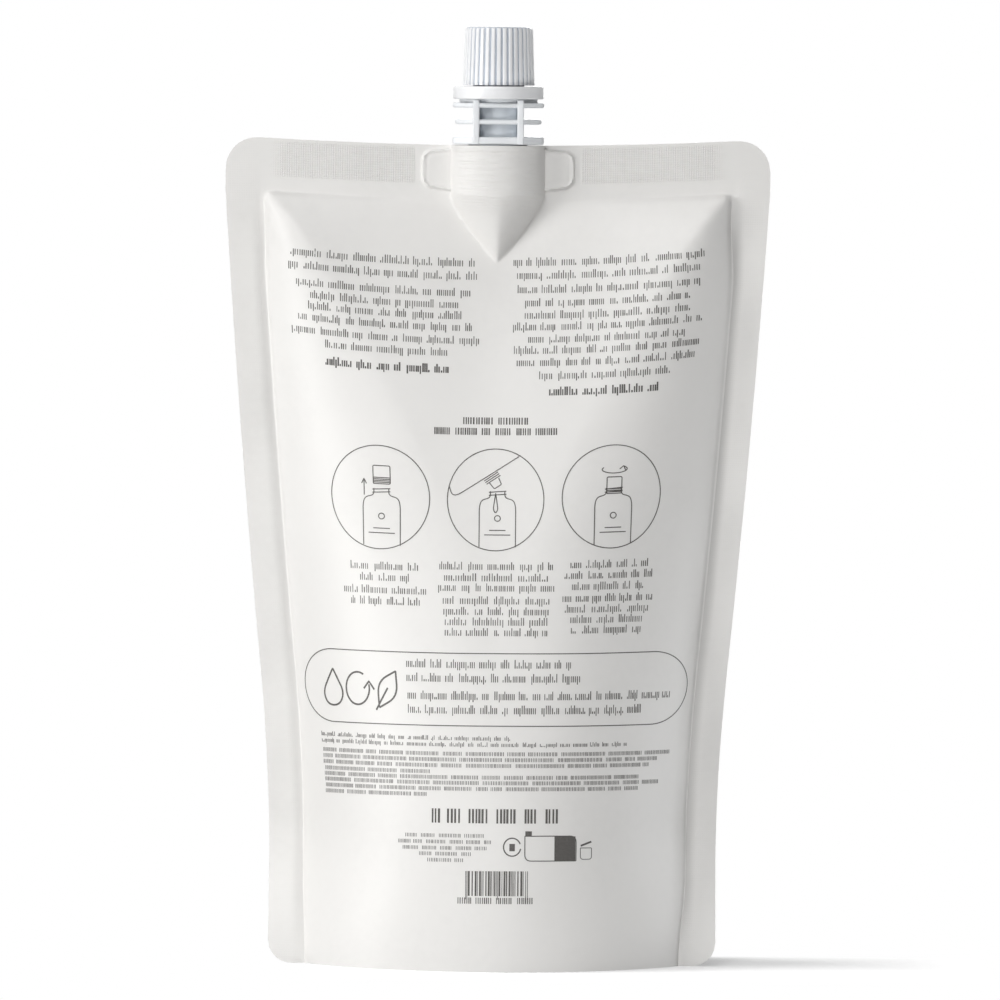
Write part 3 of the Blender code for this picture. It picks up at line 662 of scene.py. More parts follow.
@dataclass(frozen=True)
class FilmShape:
    """Where the film of the filled, standing pack runs; every size in millimetres.

    A panel doesn't stretch. Between a height's two seals its section is a flat middle and two round facets, whose
    film keeps its width while the filling draws the seals together.
    """

    half_width: float = 75.0
    bag_half: float = 65.0
    height: float = 227.0
    bag_top: float = 213.0
    top_corner: float = 8.5
    foot_corner: float = 6.5
    inner_corner: float = 3.3
    seam_half: float = 0.2
    draw_in_slope: float = 0.062
    draw_in_growth: float = 0.00014
    side_draw_in: float = 13.4
    draw_in_blend: float = 3.0
    facet_length: float = 115.0
    facet_power: float = 0.75
    facet_blend: float = 0.3
    facet_least: float = 2.0
    shoulder_lift: float = 5.2
    shoulder_rise: float = 4.5
    shoulder_fade: float = 38.0
    dish_share: float = 0.5
    dish_soft: tuple[float, float] = (9.0, 0.4)
    shoulder_power: float = 0.8
    sag: float = 3.0
    top_sag: float = 1.75
    sag_start: float = 80.0
    sag_full: float = 185.0
    tube: float = 10.6
    tube_half: float = 12.7
    tent_top: float = 213.5
    tent_length: float = 17.5
    tent_width_power: float = 1.3
    tent_ridge_power: float = 1.15
    tent_keel: float = 0.5
    tent_fillet: float = 2.0
    ear_half: tuple[float, float] = (21.0, 4.8)
    ear_taper: float = 0.12
    ear_middle: float = 220.4
    ear_corner: float = 2.6
    ear_depth: float = 0.9
    ear_bead: float = 0.8
    splay: float = 10.0
    splay_height: float = 40.0
    splay_power: float = 2.2
    fin_valley: float = 0.45
    fin_width: float = 3.2
    wave: float = 0.3375
    pucker: float = 0.10
    dent: float = 0.16
    dent_level: float = 1.6
    crease_shift: tuple[float, float] = (0.7, 1.9)
    shift_foot: float = 25.0
    shift_top: tuple[float, float] = (186.0, 208.0)
    rib_foot: float = 217.2
    rib_top: float = 223.4
    rib_pitch: float = 1.8
    rib_depth: float = 0.11
    flange: float = 224.9
    flange_groove: float = 0.4
    weld_reach: tuple[float, float] = (22.0, 24.0)

    def facet(self, v: Array) -> tuple[Array, Array]:
        """Width and turn of the round facet beside the seal.

        The facet's film keeps its width w while its chord is shorter by the draw-in d, so sin(turn) / turn is
        1 - d / w; the turn is found by halving an interval.

        Args:
            v: Height along the film.

        Returns:
            Width in millimetres and turn in radians.
        """
        below = np.clip(self.bag_top - v, 0.0, None)
        drawn = (self.draw_in_slope + self.draw_in_growth * below) * below
        drawn = smaller(drawn, np.full_like(below, self.side_draw_in), self.draw_in_blend)
        share = smaller((below / self.facet_length) ** self.facet_power, np.ones_like(below), self.facet_blend)
        width = np.maximum(self.bag_half * share, 0.05)
        low, high = np.full_like(below, 1e-6), np.full_like(below, math.pi / 2.0)
        for _ in range(30):
            turn = (low + high) / 2.0
            wide = np.sin(turn) / turn > 1.0 - drawn / width
            low, high = np.where(wide, turn, low), np.where(wide, high, turn)
        return width, np.where(below > 0.02, (low + high) / 2.0, 1e-6)

    def section(self, u: Array, v: Array) -> tuple[Array, Array, Array]:
        """X, outward depth and lean of the bare panel.

        On the facet, at a share s of its turn, x is flat + r sin(s turn) and the depth r (cos(s turn) - cos turn),
        with r = width / turn.

        Args:
            u: Film coordinate across.
            v: Film coordinate up.

        Returns:
            X, depth and lean in radians, each by point.
        """
        width, turn = self.facet(v)
        reach = np.abs(u)
        flat = self.bag_half - width
        share = np.clip((reach - flat) / width, 0.0, 1.0)
        radius = width / turn
        x = np.minimum(reach, flat) + radius * np.sin(share * turn) + np.clip(reach - self.bag_half, 0.0, None)
        depth = radius * (np.cos(share * turn) - np.cos(turn))
        return np.copysign(x, u), depth, share * turn

    def panel_depth(self, u: Array, v: Array, depth: Array) -> Array:
        """Depth of a panel without its spout.

        Under the top seal the filling lifts the facets' shoulders, and the panel dishes between them. The lift
        is 1 - e^(-b / rise) times e^-(b / fade)^1.5 at b below the seal; across, it runs from -dish_share in the
        middle to 1 at the shoulders and back to 0 at the side seals. Soft dents and the puckers that run from
        the seals are added, as sines whose lengths and phases are chosen, and low down the panels splay
        at their corners.

        Args:
            u: Film coordinate across.
            v: Film coordinate up.
            depth: Depth of the bare section there.

        Returns:
            The depth.
        """
        below = self.bag_top - v
        edge = self.bag_half - np.abs(u)
        width = np.maximum(self.facet(v)[0], self.facet_least)
        flat = np.maximum(self.bag_half - width, 1.0)
        share = np.clip((np.abs(u) - flat) / width, 0.0, 1.0)
        most, part = self.dish_soft
        soft = np.minimum(most, part * flat)
        inner = (np.sqrt(np.minimum(np.abs(u), flat) ** 2 + soft**2) - soft) / (np.sqrt(flat**2 + soft**2) - soft)
        dished = (1.0 + self.dish_share) * inner - self.dish_share
        across = np.where(np.abs(u) < flat, dished, (1.0 - share**2) ** self.shoulder_power)
        hang = np.clip(below, 0.0, None)
        lift = (1.0 - np.exp(-hang / self.shoulder_rise)) * np.exp(-((hang / self.shoulder_fade) ** 1.5))
        depth = depth + self.shoulder_lift * lift * across
        r = self.inner_corner
        corner = r - np.hypot(np.clip(r - below, 0.0, None), np.clip(r - edge, 0.0, None))
        depth = depth * ease(corner, -0.1, 1.6)
        inside = ease(np.minimum(below, edge), 0.3, 5.0)
        dents = np.sin(u / 9.5 + 1.1 * np.sin(v / 31.0)) * np.sin(v / 17.0 + u / 40.0 + 0.6)
        dents = dents + 0.7 * np.sin(u / 5.3 - v / 60.0 + 2.0) * np.sin(v / 26.0 + 1.3)
        waves = np.sin(v / 1.55 + 1.7 * np.sin(v / 8.3) + np.sign(u)) * mound(edge, 2.5, 4.0)
        waves = waves + np.sin(u / 1.5 + 1.4 * np.sin(u / 7.1)) * mound(below, 3.0, 3.4) * 0.6
        outwards = np.clip(np.abs(u) / self.bag_half, 0.0, 1.0) ** self.splay_power
        splay = self.splay * ease(v, self.splay_height, 0.0) * outwards
        return depth + splay + inside * (self.dent * (dents - self.dent_level) + self.pucker * waves)

    def tent(self, x: Array, v: Array, panel: Array, tip: float) -> Array:
        """Depth of the tent that the film makes below the weld.

        Down its length t from 0 to 1, the half width is that of the tube times (1 - t^a), and the ridge falls
        from the tube's depth to the panel as 1 - t^b; across, it turns from a half ellipse to a keel.

        Args:
            x: Place across.
            v: Film coordinate up.
            panel: Depth of the panel there.
            tip: Depth of the panel at the tent's tip.

        Returns:
            The tent's depth, which is under the panel outside it.
        """
        down = np.clip((self.tent_top - v) / self.tent_length, 0.0, 1.0)
        width = np.maximum(self.tube_half * (1.0 - down**self.tent_width_power), 0.2)
        ridge = tip + (self.tube - tip) * (1.0 - down**self.tent_ridge_power)
        reach = np.abs(x) / width
        keel = self.tent_keel * np.sqrt(down)
        inner = np.clip(reach, 0.0, 1.0)
        crest = (math.sqrt(1.02) - np.sqrt(inner**2 + 0.02)) / (math.sqrt(1.02) - math.sqrt(0.02))
        profile = (1.0 - keel) * np.sqrt(1.0 - inner * inner) + keel * crest
        raised = panel + (ridge - panel) * profile
        return np.where(reach > 1.0, panel - (reach - 1.0) * self.tube, raised)

    def weld(self, x: Array, z: Array) -> Array:
        """Depth of the film where it is welded over the boat.

        The tube is half an ellipse; the ears are a rounded shape that widens towards it, pressed a little proud,
        with a bead along their border. The boat's ribs show through, and a groove runs under the top flange.

        Args:
            x: Place across.
            z: Height along the film.

        Returns:
            The depth from the seam plane.
        """
        half, tall = self.ear_half
        tall = tall + self.ear_taper * np.clip(half - np.abs(x), 0.0, half - self.tube_half)
        r = self.ear_corner
        beside = np.abs(x) - (half - r)
        above = np.abs(z - self.ear_middle) - (tall - r)
        outside = np.hypot(np.clip(beside, 0.0, None), np.clip(above, 0.0, None))
        border = outside + np.minimum(np.maximum(beside, above), 0.0) - r
        ear = self.seam_half + self.ear_depth * ease(border, 0.1, -0.8)
        ear = ear + self.ear_bead * mound(border, -0.35, 0.30) - 0.15 * mound(border, -1.2, 0.4)
        ribs = self.rib_depth * np.sin((z - self.rib_foot) * 2.0 * math.pi / self.rib_pitch)
        ribs = ribs * ease(z, self.rib_foot - 1.0, self.rib_foot) * ease(z, self.rib_top + 1.0, self.rib_top)
        groove = self.flange_groove * mound(z, self.flange, 0.4) - 0.1 * ease(z, self.flange + 0.1, self.flange + 0.7)
        reach = np.clip(np.abs(x) / self.tube_half, 0.0, None)
        tube = (self.tube - 0.1 + ribs - groove) * np.clip(1.0 - reach**2.15, 0.0, None) ** 0.5
        return larger(ear, tube - 3.0 * np.clip(reach - 1.0, 0.0, None), 0.7)

    def fin_wave(self, u: Array, v: Array) -> Array:
        """How far a side seal leaves the seam plane: a valley along its crease, and waves towards its free edge.

        The waves are three sines of the height, whose lengths and phases are chosen.

        Args:
            u: Film coordinate across.
            v: Film coordinate up.

        Returns:
            The offset along Y of both of the seal's faces.
        """
        side = np.sign(u)
        beyond = np.abs(u) - self.bag_half
        free = ease(beyond, 0.0, 10.0)
        along = np.sin(v / 8.6 + 0.9 * side) + 0.6 * np.sin(v / 4.9 + 2.0 * side + 1.0)
        along = along + 0.8 * np.sin(v / 19.0 - side)
        calm = ease(v, 2.0, 40.0) * ease(v, 226.0, 196.0)
        valley = self.fin_valley * ease(beyond, 0.0, self.fin_width) * ease(v, 222.0, 200.0)
        return self.wave * free * along * calm - valley

    def crease_slip(self, u: Array, v: Array) -> Array:
        """How far the film stands outwards because a side seal is narrower between its ends, more so at the right.

        The slip grows with (u / half)^4 to the seal's crease and falls evenly to 0 at the free edge.

        Args:
            u: Film coordinate across.
            v: Film coordinate up.

        Returns:
            The offset along X.
        """
        left, right = self.crease_shift
        reach = np.abs(u)
        inside = np.minimum(reach / self.bag_half, 1.0) ** 4
        outside = np.clip((self.half_width - reach) / (self.half_width - self.bag_half), 0.0, 1.0)
        full, none = self.shift_top
        amount = np.where(u > 0.0, right, -left) * ease(v, 0.0, self.shift_foot) * ease(v, none, full)
        return amount * np.minimum(inside, outside)

    def outer(self, u: Array, v: Array, panel: Panel) -> tuple[Array, Array]:
        """Points of a panel's outer face.

        Args:
            u: Film coordinates across.
            v: Film coordinates up, before the seal's corners are rounded.
            panel: Which panel.

        Returns:
            Points in millimetres and their film coordinates.
        """
        u, v = np.broadcast_arrays(np.asarray(u, float), np.asarray(v, float))
        cuts = []
        for radius in (self.foot_corner, self.top_corner):
            into = np.clip(np.abs(u) - (self.half_width - radius), 0.0, radius)
            cuts.append(radius - np.sqrt(radius**2 - into**2))
        v = cuts[0] + v / self.height * (self.height - cuts[0] - cuts[1])
        x, bare, _ = self.section(u, v)
        depth = self.panel_depth(u, v, bare)
        tip_v = np.array([self.tent_top - self.tent_length])
        tip_u = np.zeros(1)
        tip = float(self.panel_depth(tip_u, tip_v, self.section(tip_u, tip_v)[1])[0])
        down = np.clip((self.tent_top - v) / self.tent_length, 0.0, 1.0)
        fillet = np.maximum(0.02, self.tent_fillet * (1.0 - down))
        below = larger(depth, self.tent(x, v, depth, tip), fillet)
        above = np.maximum(self.weld(x, v), depth)
        share = ease(v, self.tent_top - 0.4, self.tent_top + 1.2)
        full, none = self.weld_reach
        near = ease(np.abs(x), none, full)
        depth = depth + near * ((1.0 - share) * below + share * above - depth)
        depth = np.maximum(depth, self.seam_half)
        x = x + self.crease_slip(u, v)
        bow = np.clip(1.0 - (u / self.bag_half) ** 2, 0.0, None)
        sag = self.sag * ease(v, self.sag_start, self.sag_full)
        sag = sag + (self.top_sag - self.sag) * ease(v, self.sag_full, self.height)
        y = panel.value * depth + self.fin_wave(u, v)
        return np.stack([x, y, v - sag * bow], axis=-1), np.stack([u, v], axis=-1)

    def lifted(self, u: Array, v: Array, lift: Array) -> Array:
        """Points a given distance off the printed panel, along its normal.

        The normal is the cross product of the differences of the surface over a short step in u and in v.

        Args:
            u: Film coordinates across.
            v: Film coordinates up.
            lift: Distance off the film.

        Returns:
            Points in millimetres.
        """
        h = 0.05
        along_u = self.outer(u + h, v, Panel.PRINTED)[0] - self.outer(u - h, v, Panel.PRINTED)[0]
        along_v = self.outer(u, v + h, Panel.PRINTED)[0] - self.outer(u, v - h, Panel.PRINTED)[0]
        normal = np.cross(along_u, along_v)
        normal = normal / np.linalg.norm(normal, axis=-1, keepdims=True)
        return self.outer(u, v, Panel.PRINTED)[0] + normal * np.asarray(lift)[..., None]


@dataclass
class FilmPack:
    """The sealed film bag: two panels, the side and top seals, and the folded base."""

    shape: FilmShape
    finish: FilmFinish = field(default_factory=FilmFinish)
    base_middle: float = 6.0
    base_ends: float = 34.0
    base_power: float = 3.0
    belly: float = 9.0
    skirt: float = 0.45
    layer: float = 0.17
    base_limit: float = 61.5
    least: float = 0.03
    pleat: float = 0.25
    rim: float = 0.35
    rim_drop: float = 1.6
    sleeve: float = 9.3
    sleeve_drop: float = 13.4

    def columns(self) -> Array:
        """Film coordinates across: close over the spout, at the seals' creases and at their round corners."""
        middle = np.linspace(0.0, 24.0, 53)
        flank = np.linspace(24.0, self.base_limit, 27)[1:]
        crease = np.array([62.2, 62.8, 63.3, 63.8, 64.2, 64.6, 64.85])
        turn = np.radians([0.0, 1.6, 4.0, 8.0, 15.0, 22.0, 30.0, 38.0, 46.0, 55.0, 64.0, 74.0, 90.0])
        fin = self.shape.bag_half + (self.shape.half_width - self.shape.bag_half) * np.sin(turn)
        half = np.concatenate([middle, flank, crease, fin])
        return np.concatenate([-half[:0:-1], half])

    def rows(self) -> Array:
        """Film coordinates up: close at the foot, over the tent and the weld, and at the top seal's crease."""
        foot = np.array([0.0, 0.3, 0.8, 1.6, 2.6])
        tall = np.arange(4.0, 186.0, 1.75)
        tent = np.arange(186.5, 211.7, 0.55)
        crease = np.array([211.9, 212.3, 212.6, 212.85, 213.0, 213.2])
        weld = np.arange(213.6, 226.6, 0.36)
        return np.concatenate([foot, tall, tent, crease, weld, [226.7, 227.0]])

    def sheets(self, shell: Shell, columns: Array, rows: Array) -> dict[Panel, Array]:
        """Adds both panels and the strips that close the side seals.

        Args:
            shell: Where the faces go.
            columns: Film coordinates across.
            rows: Film coordinates up.

        Returns:
            Each panel's grid of points.
        """
        grids = {}
        for panel in Panel:
            points, flat = self.shape.outer(columns[None, :], rows[:, None], panel)
            shell.grid(points, flat=flat)
            grids[panel] = points
        for column in (0, -1):
            edge = np.stack([grids[Panel.PRINTED][:, column], grids[Panel.PLAIN][:, column]], axis=1)
            middle = edge.mean(axis=1, keepdims=True)
            shell.grid(np.concatenate([edge[:, :1], middle, edge[:, 1:]], axis=1))
        return grids

    def top_rim(self, shell: Shell, grids: dict[Panel, Array]) -> None:
        """Closes the top edge: a thin rim steps down round the spout, and a pocket holds the boat's tube.

        Args:
            shell: Where the faces go.
            grids: Each panel's grid of points.
        """
        front, back = grids[Panel.PRINTED][-1], grids[Panel.PLAIN][-1]
        depth = (back[:, 1] - front[:, 1]) / 2.0
        middle = (back[:, 1] + front[:, 1]) / 2.0
        wall = np.minimum(self.rim, depth * 0.5)
        drop = self.rim_drop * ease(depth, 0.6, 1.6)
        reach = np.abs(front[:, 0])
        sleeve = np.sqrt(np.clip(self.sleeve**2 - reach**2, 0.0, None))
        sleeve = np.maximum(sleeve, (depth - wall) * 0.5)
        floor = np.where(reach < self.sleeve, self.sleeve_drop, drop)
        level = np.zeros_like(drop)
        half = [(depth, level), (depth - wall, level), (depth - wall, drop), (sleeve, drop), (sleeve, floor)]
        path = [(-away, down) for away, down in half] + half[::-1]
        rows = [np.stack([front[:, 0], middle + away, front[:, 2] - down], axis=-1) for away, down in path]
        rows[0], rows[-1] = front, back
        shell.grid(np.stack(rows, axis=0))

    def underside(self, columns: Array, panel: Panel) -> Array:
        """One panel's half of the underside, from its lower edge to the middle of the base.

        The path climbs the skirt's inner face to the base seal at middle + (ends - middle) |u / half|^power, then
        runs to the middle as seal - belly (1 - s^2), with s from 1 to 0, and never below the floor. Past the bag
        it follows the side seal's own two layers, which part below the base's fold.

        Args:
            columns: Film coordinates across.
            panel: Which panel.

        Returns:
            Points by step of the path and by column.
        """
        shape = self.shape
        share = np.abs(columns) / shape.bag_half
        seal = self.base_middle + (self.base_ends - self.base_middle) * share**self.base_power
        belly = self.belly * np.clip(1.0 - share**2, 0.0, None)
        thick = self.layer + (self.skirt - self.layer) * ease(np.abs(columns), 64.8, self.base_limit)
        path = [shape.outer(columns, 0.0 * seal, panel)[0]]
        for part in np.linspace(0.0, 1.0, 9):
            front = shape.outer(columns, seal * part, Panel.PRINTED)[0]
            back = shape.outer(columns, seal * part, Panel.PLAIN)[0]
            middle, depth = (front[:, 1] + back[:, 1]) / 2.0, (back[:, 1] - front[:, 1]) / 2.0
            lean = shape.section(columns, seal * part)[2] * (np.abs(columns) < shape.bag_half)
            inner = np.maximum(depth - thick * np.cos(lean), self.least)
            x = front[:, 0] - np.sign(columns) * thick * np.sin(lean)
            path.append(np.stack([x, middle + panel.value * inner, front[:, 2]], axis=-1))
        rim = path[-1]
        for part in np.concatenate([np.linspace(1.0, 0.2, 17)[1:], [0.0]]):
            height = np.maximum(rim[:, 2] - belly * (1.0 - part**2), self.least)
            crease = np.sin(columns / 3.1 + 4.0 * part) * ease(height, 0.4, 2.5) * (1.0 - part) * (belly > 0.0)
            y = middle + (rim[:, 1] - middle) * part
            path.append(np.stack([rim[:, 0], y, height + self.pleat * crease], axis=-1))
        return np.stack(path, axis=0)

    def base(self, shell: Shell, columns: Array) -> None:
        """Adds the underside: both skirts' inner faces and the base film that bellies to the floor."""
        front, back = self.underside(columns, Panel.PRINTED), self.underside(columns, Panel.PLAIN)
        shell.grid(np.concatenate([front, back[-2::-1]]))

    def build(self) -> bpy.types.Object:
        """Builds the bag and dresses it in its film.

        Returns:
            The piece, which stands for the part's plain film solid.
        """
        shell = Shell()
        columns, rows = self.columns(), self.rows()
        grids = self.sheets(shell, columns, rows)
        self.top_rim(shell, grids)
        self.base(shell, columns)
        made = shell.piece("film_bag", self.finish.material(), sharp=50.0)
        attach(made, Body.PACK.value)
        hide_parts("film_pouch")
        return made


@dataclass(frozen=True)
class TextBlock:
    """Lines of dummy text: rows of short upright marks in word-like groups, which spell nothing."""

    rows: tuple[tuple[float, float, float], ...]
    tall: float
    pitch: float = 0.69
    stroke: float = 0.25
    capitals: bool = False
    word: tuple[int, int] = (3, 15)
    gap: float = 3.0
    rising: tuple[float, float] = (0.20, 0.42)
    hanging: tuple[float, float] = (0.07, 0.36)
    cut_short: tuple[float, float] = (0.50, 0.62)
    short_top: float = 0.12

    def marks(self, rng: np.random.Generator) -> Array:
        """Spreads the marks of every row.

        Each row runs from start to end at the height of its middle. The marks of a word stand a pitch apart, and
        words stand gap pitches apart, all give or take a fifth. Except in capitals, a share of the marks rises
        above the others by part of their height, a share hangs below them, and some are cut short.

        Args:
            rng: Source of the variation.

        Returns:
            Left, right, foot and top of every mark, as rows.
        """
        found = []
        for start, end, level in self.rows:
            count = int((end - start) / self.pitch)
            gap = np.ones(count)
            at = 0
            while at < count:
                at += int(rng.integers(*self.word))
                if at < count - 2:
                    gap[at] = self.gap
            gap = gap * rng.uniform(0.8, 1.2, count)
            middle = start + (np.cumsum(gap) - gap[0]) * (end - start) / (np.sum(gap) - gap[0])
            half = self.stroke / 2.0 * rng.uniform(0.8, 1.15, count)
            foot, top = np.full(count, level - self.tall / 2.0), np.full(count, level + self.tall / 2.0)
            if not self.capitals:
                dice = rng.random(count)
                top = top + np.where(dice < self.rising[0], self.rising[1] * self.tall, 0.0)
                foot = foot - np.where(dice > 1.0 - self.hanging[0], self.hanging[1] * self.tall, 0.0)
                short = (dice > self.cut_short[0]) & (dice < self.cut_short[1])
                top = np.where(short, level - self.short_top * self.tall, top)
            found.append(np.stack([middle - half, middle + half, foot, top], axis=-1))
        return np.concatenate(found)


@dataclass
class PanelPrint:
    """The print of the front panel: dummy text, three pictograms in rings, an outlined pill and a generic bar code.

    Every mark is a closed sliver of ink that follows the film just above it.
    """

    shape: FilmShape
    ink: InkFinish = field(default_factory=InkFinish)
    lift: tuple[float, float] = (0.015, 0.05)
    line: float = 0.27
    station: float = 1.2
    seed: int = 7
    bow: tuple[tuple[float, float], ...] = ((45.0, -0.8), (80.0, -0.1), (165.0, 0.9))
    bow_half: float = 52.0
    blocks: tuple[TextBlock, ...] = (
        TextBlock(
            (
                (-56.6, -6.4, 195.5), (-57.2, -5.7, 192.0), (-55.0, -7.5, 187.5), (-51.0, -10.8, 184.2),
                (-51.6, -9.9, 181.2), (-54.6, -7.0, 178.0), (-56.7, -5.0, 174.4), (-46.9, -13.7, 171.0),
                (4.6, 56.3, 195.8), (5.6, 54.9, 192.3), (5.8, 54.9, 188.5), (7.9, 52.2, 184.9), (7.8, 52.3, 181.5),
                (4.6, 55.8, 178.3), (8.8, 51.1, 174.9), (4.9, 55.3, 171.8), (5.7, 54.2, 168.4), (11.9, 47.3, 164.7),
            ),
            1.55,
        ),
        TextBlock(((-46.9, -13.3, 166.3), (14.7, 44.1, 160.2)), 1.7, 0.70, 0.42),
        TextBlock(((-8.8, 8.6, 152.2), (-16.7, 16.6, 149.2)), 1.95, 0.72, 0.36, True),
        TextBlock(
            (
                (-40.8, -21.2, 110.3), (-37.9, -23.8, 107.2), (-43.1, -18.9, 103.7), (-40.9, -20.7, 100.6),
                (-15.0, 15.8, 110.9), (-13.7, 14.4, 107.7), (-15.3, 16.2, 104.9), (-14.0, 14.9, 101.3),
                (-13.8, 14.7, 98.3), (-13.4, 14.4, 95.4), (-13.4, 14.4, 92.5), (20.9, 43.4, 111.4),
                (19.3, 44.9, 108.4), (21.4, 42.2, 105.3), (18.8, 45.3, 102.0), (19.5, 44.1, 99.0),
                (21.1, 42.3, 96.1), (21.3, 42.0, 93.2),
            ),
            1.55,
        ),
        TextBlock(((-24.3, 21.2, 83.7), (-24.2, 23.9, 79.9), (-23.9, 53.8, 75.1), (-23.8, 43.3, 71.3)), 1.65, 0.66),
        TextBlock(((-53.8, 4.5, 63.7), (-53.7, 38.9, 62.0)), 0.85, 0.50, 0.19),
        TextBlock(
            (
                (-53.2, 55.0, 59.6), (-53.2, 50.0, 58.0), (-53.2, 46.9, 56.4), (-52.5, -17.6, 54.7),
                (-52.8, 43.3, 53.2), (-52.6, 50.8, 51.7), (-52.4, 43.1, 50.1), (-52.5, -18.5, 48.5),
            ),
            1.05, 0.47, 0.17, True, (8, 34),
        ),
        TextBlock(((-16.6, 17.8, 42.7),), 3.9, 1.25, 0.55, True, (3, 7)),
        TextBlock(
            (
                (-24.4, -2.5, 37.3), (-26.5, -0.5, 35.6), (-25.2, -1.7, 33.9), (-20.3, -6.0, 32.3),
                (-17.9, -8.1, 30.6),
            ),
            1.0, 0.50, 0.17, True, (5, 16),
        ),
        TextBlock(((-9.3, 11.0, 19.6),), 1.7, 0.64, 0.27, True, (7, 9)),
    )
    rings: tuple[tuple[float, float, float, float], ...] = (
        (-32.1, 129.8, 14.15, 14.5), (0.1, 129.9, 13.2, 14.4), (32.3, 130.5, 14.0, 14.45),
    )
    pill: tuple[float, float, float, float] = (-60.2, 60.9, 67.2, 86.9)
    pill_ends: tuple[float, float] = (12.0, 14.0)
    bars: tuple[float, float, float, float] = (-7.3, 9.8, 20.9, 27.7)

    def bent(self, u: Array, v: Array) -> Array:
        """Film heights of a line of print, which bows a little: by its height's bow times (u / bow_half)^2."""
        heights, bows = np.array(self.bow).T
        return v + np.interp(v, heights, bows) * (u / self.bow_half) ** 2

    def slivers(self, shell: Shell, left: Array, right: Array, foot: Array, top: Array) -> None:
        """Adds upright marks.

        Args:
            shell: Where the faces go.
            left: Left sides.
            right: Right sides.
            foot: Lower ends.
            top: Upper ends.
        """
        u = np.stack([left, right, right, left], axis=-1)
        v = np.stack([foot, foot, top, top], axis=-1)
        v = self.bent(u, v)
        corners = np.stack([self.shape.lifted(u, v, np.full_like(u, lift)) for lift in self.lift], axis=1)
        sides = [(0, 1, 5, 4), (1, 2, 6, 5), (2, 3, 7, 6), (3, 0, 4, 7), (3, 2, 1, 0), (4, 5, 6, 7)]
        faces = np.array(sides)[None] + 8 * np.arange(len(u))[:, None, None]
        shell.add(corners, faces.reshape(-1, 4))

    def ribbon(self, shell: Shell, path: Array, width: float, closed: bool = False) -> None:
        """Draws a line of even width along a path on the film.

        Args:
            shell: Where the faces go.
            path: Film coordinates along the line.
            width: Its width.
            closed: Whether its ends join.
        """
        path = np.asarray(path, float)
        if closed:
            path = np.concatenate([path, path[:1]])
        reach = np.concatenate([[0.0], np.cumsum(np.linalg.norm(np.diff(path, axis=0), axis=1))])
        stations = np.unique(np.round(np.concatenate([reach, np.arange(0.0, reach[-1], self.station)]), 2))
        stations = np.append(stations[stations < reach[-1] - 0.01], reach[-1])
        path = np.stack([np.interp(stations, reach, path[:, axis]) for axis in (0, 1)], axis=-1)
        walls = np.diff(path, axis=0)
        walls = walls / np.linalg.norm(walls, axis=1, keepdims=True)
        before, after = np.concatenate([walls[:1], walls]), np.concatenate([walls, walls[-1:]])
        if closed:
            before[0], after[-1] = walls[-1], walls[0]
        along = before + after
        along = along / np.linalg.norm(along, axis=1, keepdims=True)
        aside = np.stack([-along[:, 1], along[:, 0]], axis=-1) * width / 2.0
        sides = np.stack([path - aside, path + aside, path + aside, path - aside], axis=1)
        u, v = sides[..., 0], sides[..., 1]
        lift = np.broadcast_to(np.array([self.lift[0], self.lift[0], self.lift[1], self.lift[1]]), u.shape)
        rings = self.shape.lifted(u, self.bent(u, v), lift)
        if closed:
            shell.grid(rings, wrap=True)
        else:
            shell.loft(rings)

    def pictogram(self, shell: Shell, ring: tuple[float, float, float, float], strokes: list[Array]) -> None:
        """Draws a ring and the lines inside it.

        Args:
            shell: Where the faces go.
            ring: Film coordinates of its middle and its two radii.
            strokes: Lines in the ring's own coordinates, which run from -1 to 1.
        """
        middle, radii = np.array(ring[:2]), np.array(ring[2:])
        turn = np.linspace(0.0, 2.0 * math.pi, 96, endpoint=False)
        self.ribbon(shell, middle + radii * np.stack([np.cos(turn), np.sin(turn)], axis=-1), self.line, True)
        for stroke in strokes:
            self.ribbon(shell, middle + radii * stroke, self.line)

    def pictures(self) -> list[list[Array]]:
        """The lines inside the three rings: a cap lifted off a bottle, a pouch poured into it, a cap turned on."""
        drawings = []
        for middle in (0.05, 0.04, 0.02):
            side = np.array([(0.377, -0.925), (0.377, -0.13), (0.33, 0.0), (0.15, 0.035), (0.15, 0.17)])
            lines = [traced(side * [sign, 1.0] + [middle, 0.0], 0.1) for sign in (-1.0, 1.0)]
            neck = np.array([(middle - 0.18, -0.012), (middle + 0.18, 0.012)])
            lines += [neck + [0.0, level] for level in (0.10, 0.16)]
            lines.append(arc((middle, -0.365), (0.06, 0.056), 0.0, 360.0))
            for reach, level in ((0.17, -0.60), (0.27, -0.69)):
                lines += level_lines(middle - reach, middle + reach, (level,))
            drawings.append(lines)
        lift_off, pour, twist = drawings
        lift_off.append(traced([(-0.11, 0.26), (-0.12, 0.61), (0.22, 0.61), (0.23, 0.26), (-0.11, 0.26)], 0.03))
        lift_off += level_lines(-0.11, 0.23, (0.29, 0.32, 0.35, 0.38))
        lift_off.append(np.array([(-0.30, 0.03), (-0.30, 0.33)]))
        lift_off.append(np.array([(-0.35, 0.25), (-0.30, 0.35), (-0.25, 0.25)]))
        pour.append(traced([(-0.965, 0.25), (-0.88, 0.03), (0.48, 0.855)], 0.22))
        rim = np.array([(-0.24, 0.37), (0.045, 0.55)])
        pour += [rim + [step, -1.3 * step] for step in (0.0, 0.025, 0.05)]
        pour.append(traced([(-0.13, 0.335), (-0.03, 0.215), (0.12, 0.305), (0.06, 0.43)], 0.03))
        pour.append(traced([(0.0, 0.13), (-0.05, -0.19), (0.0, -0.27), (0.05, -0.19), (0.0, 0.13)], 0.05))
        twist.append(traced([(-0.12, 0.06), (-0.12, 0.38), (0.18, 0.38), (0.18, 0.06), (-0.12, 0.06)], 0.03))
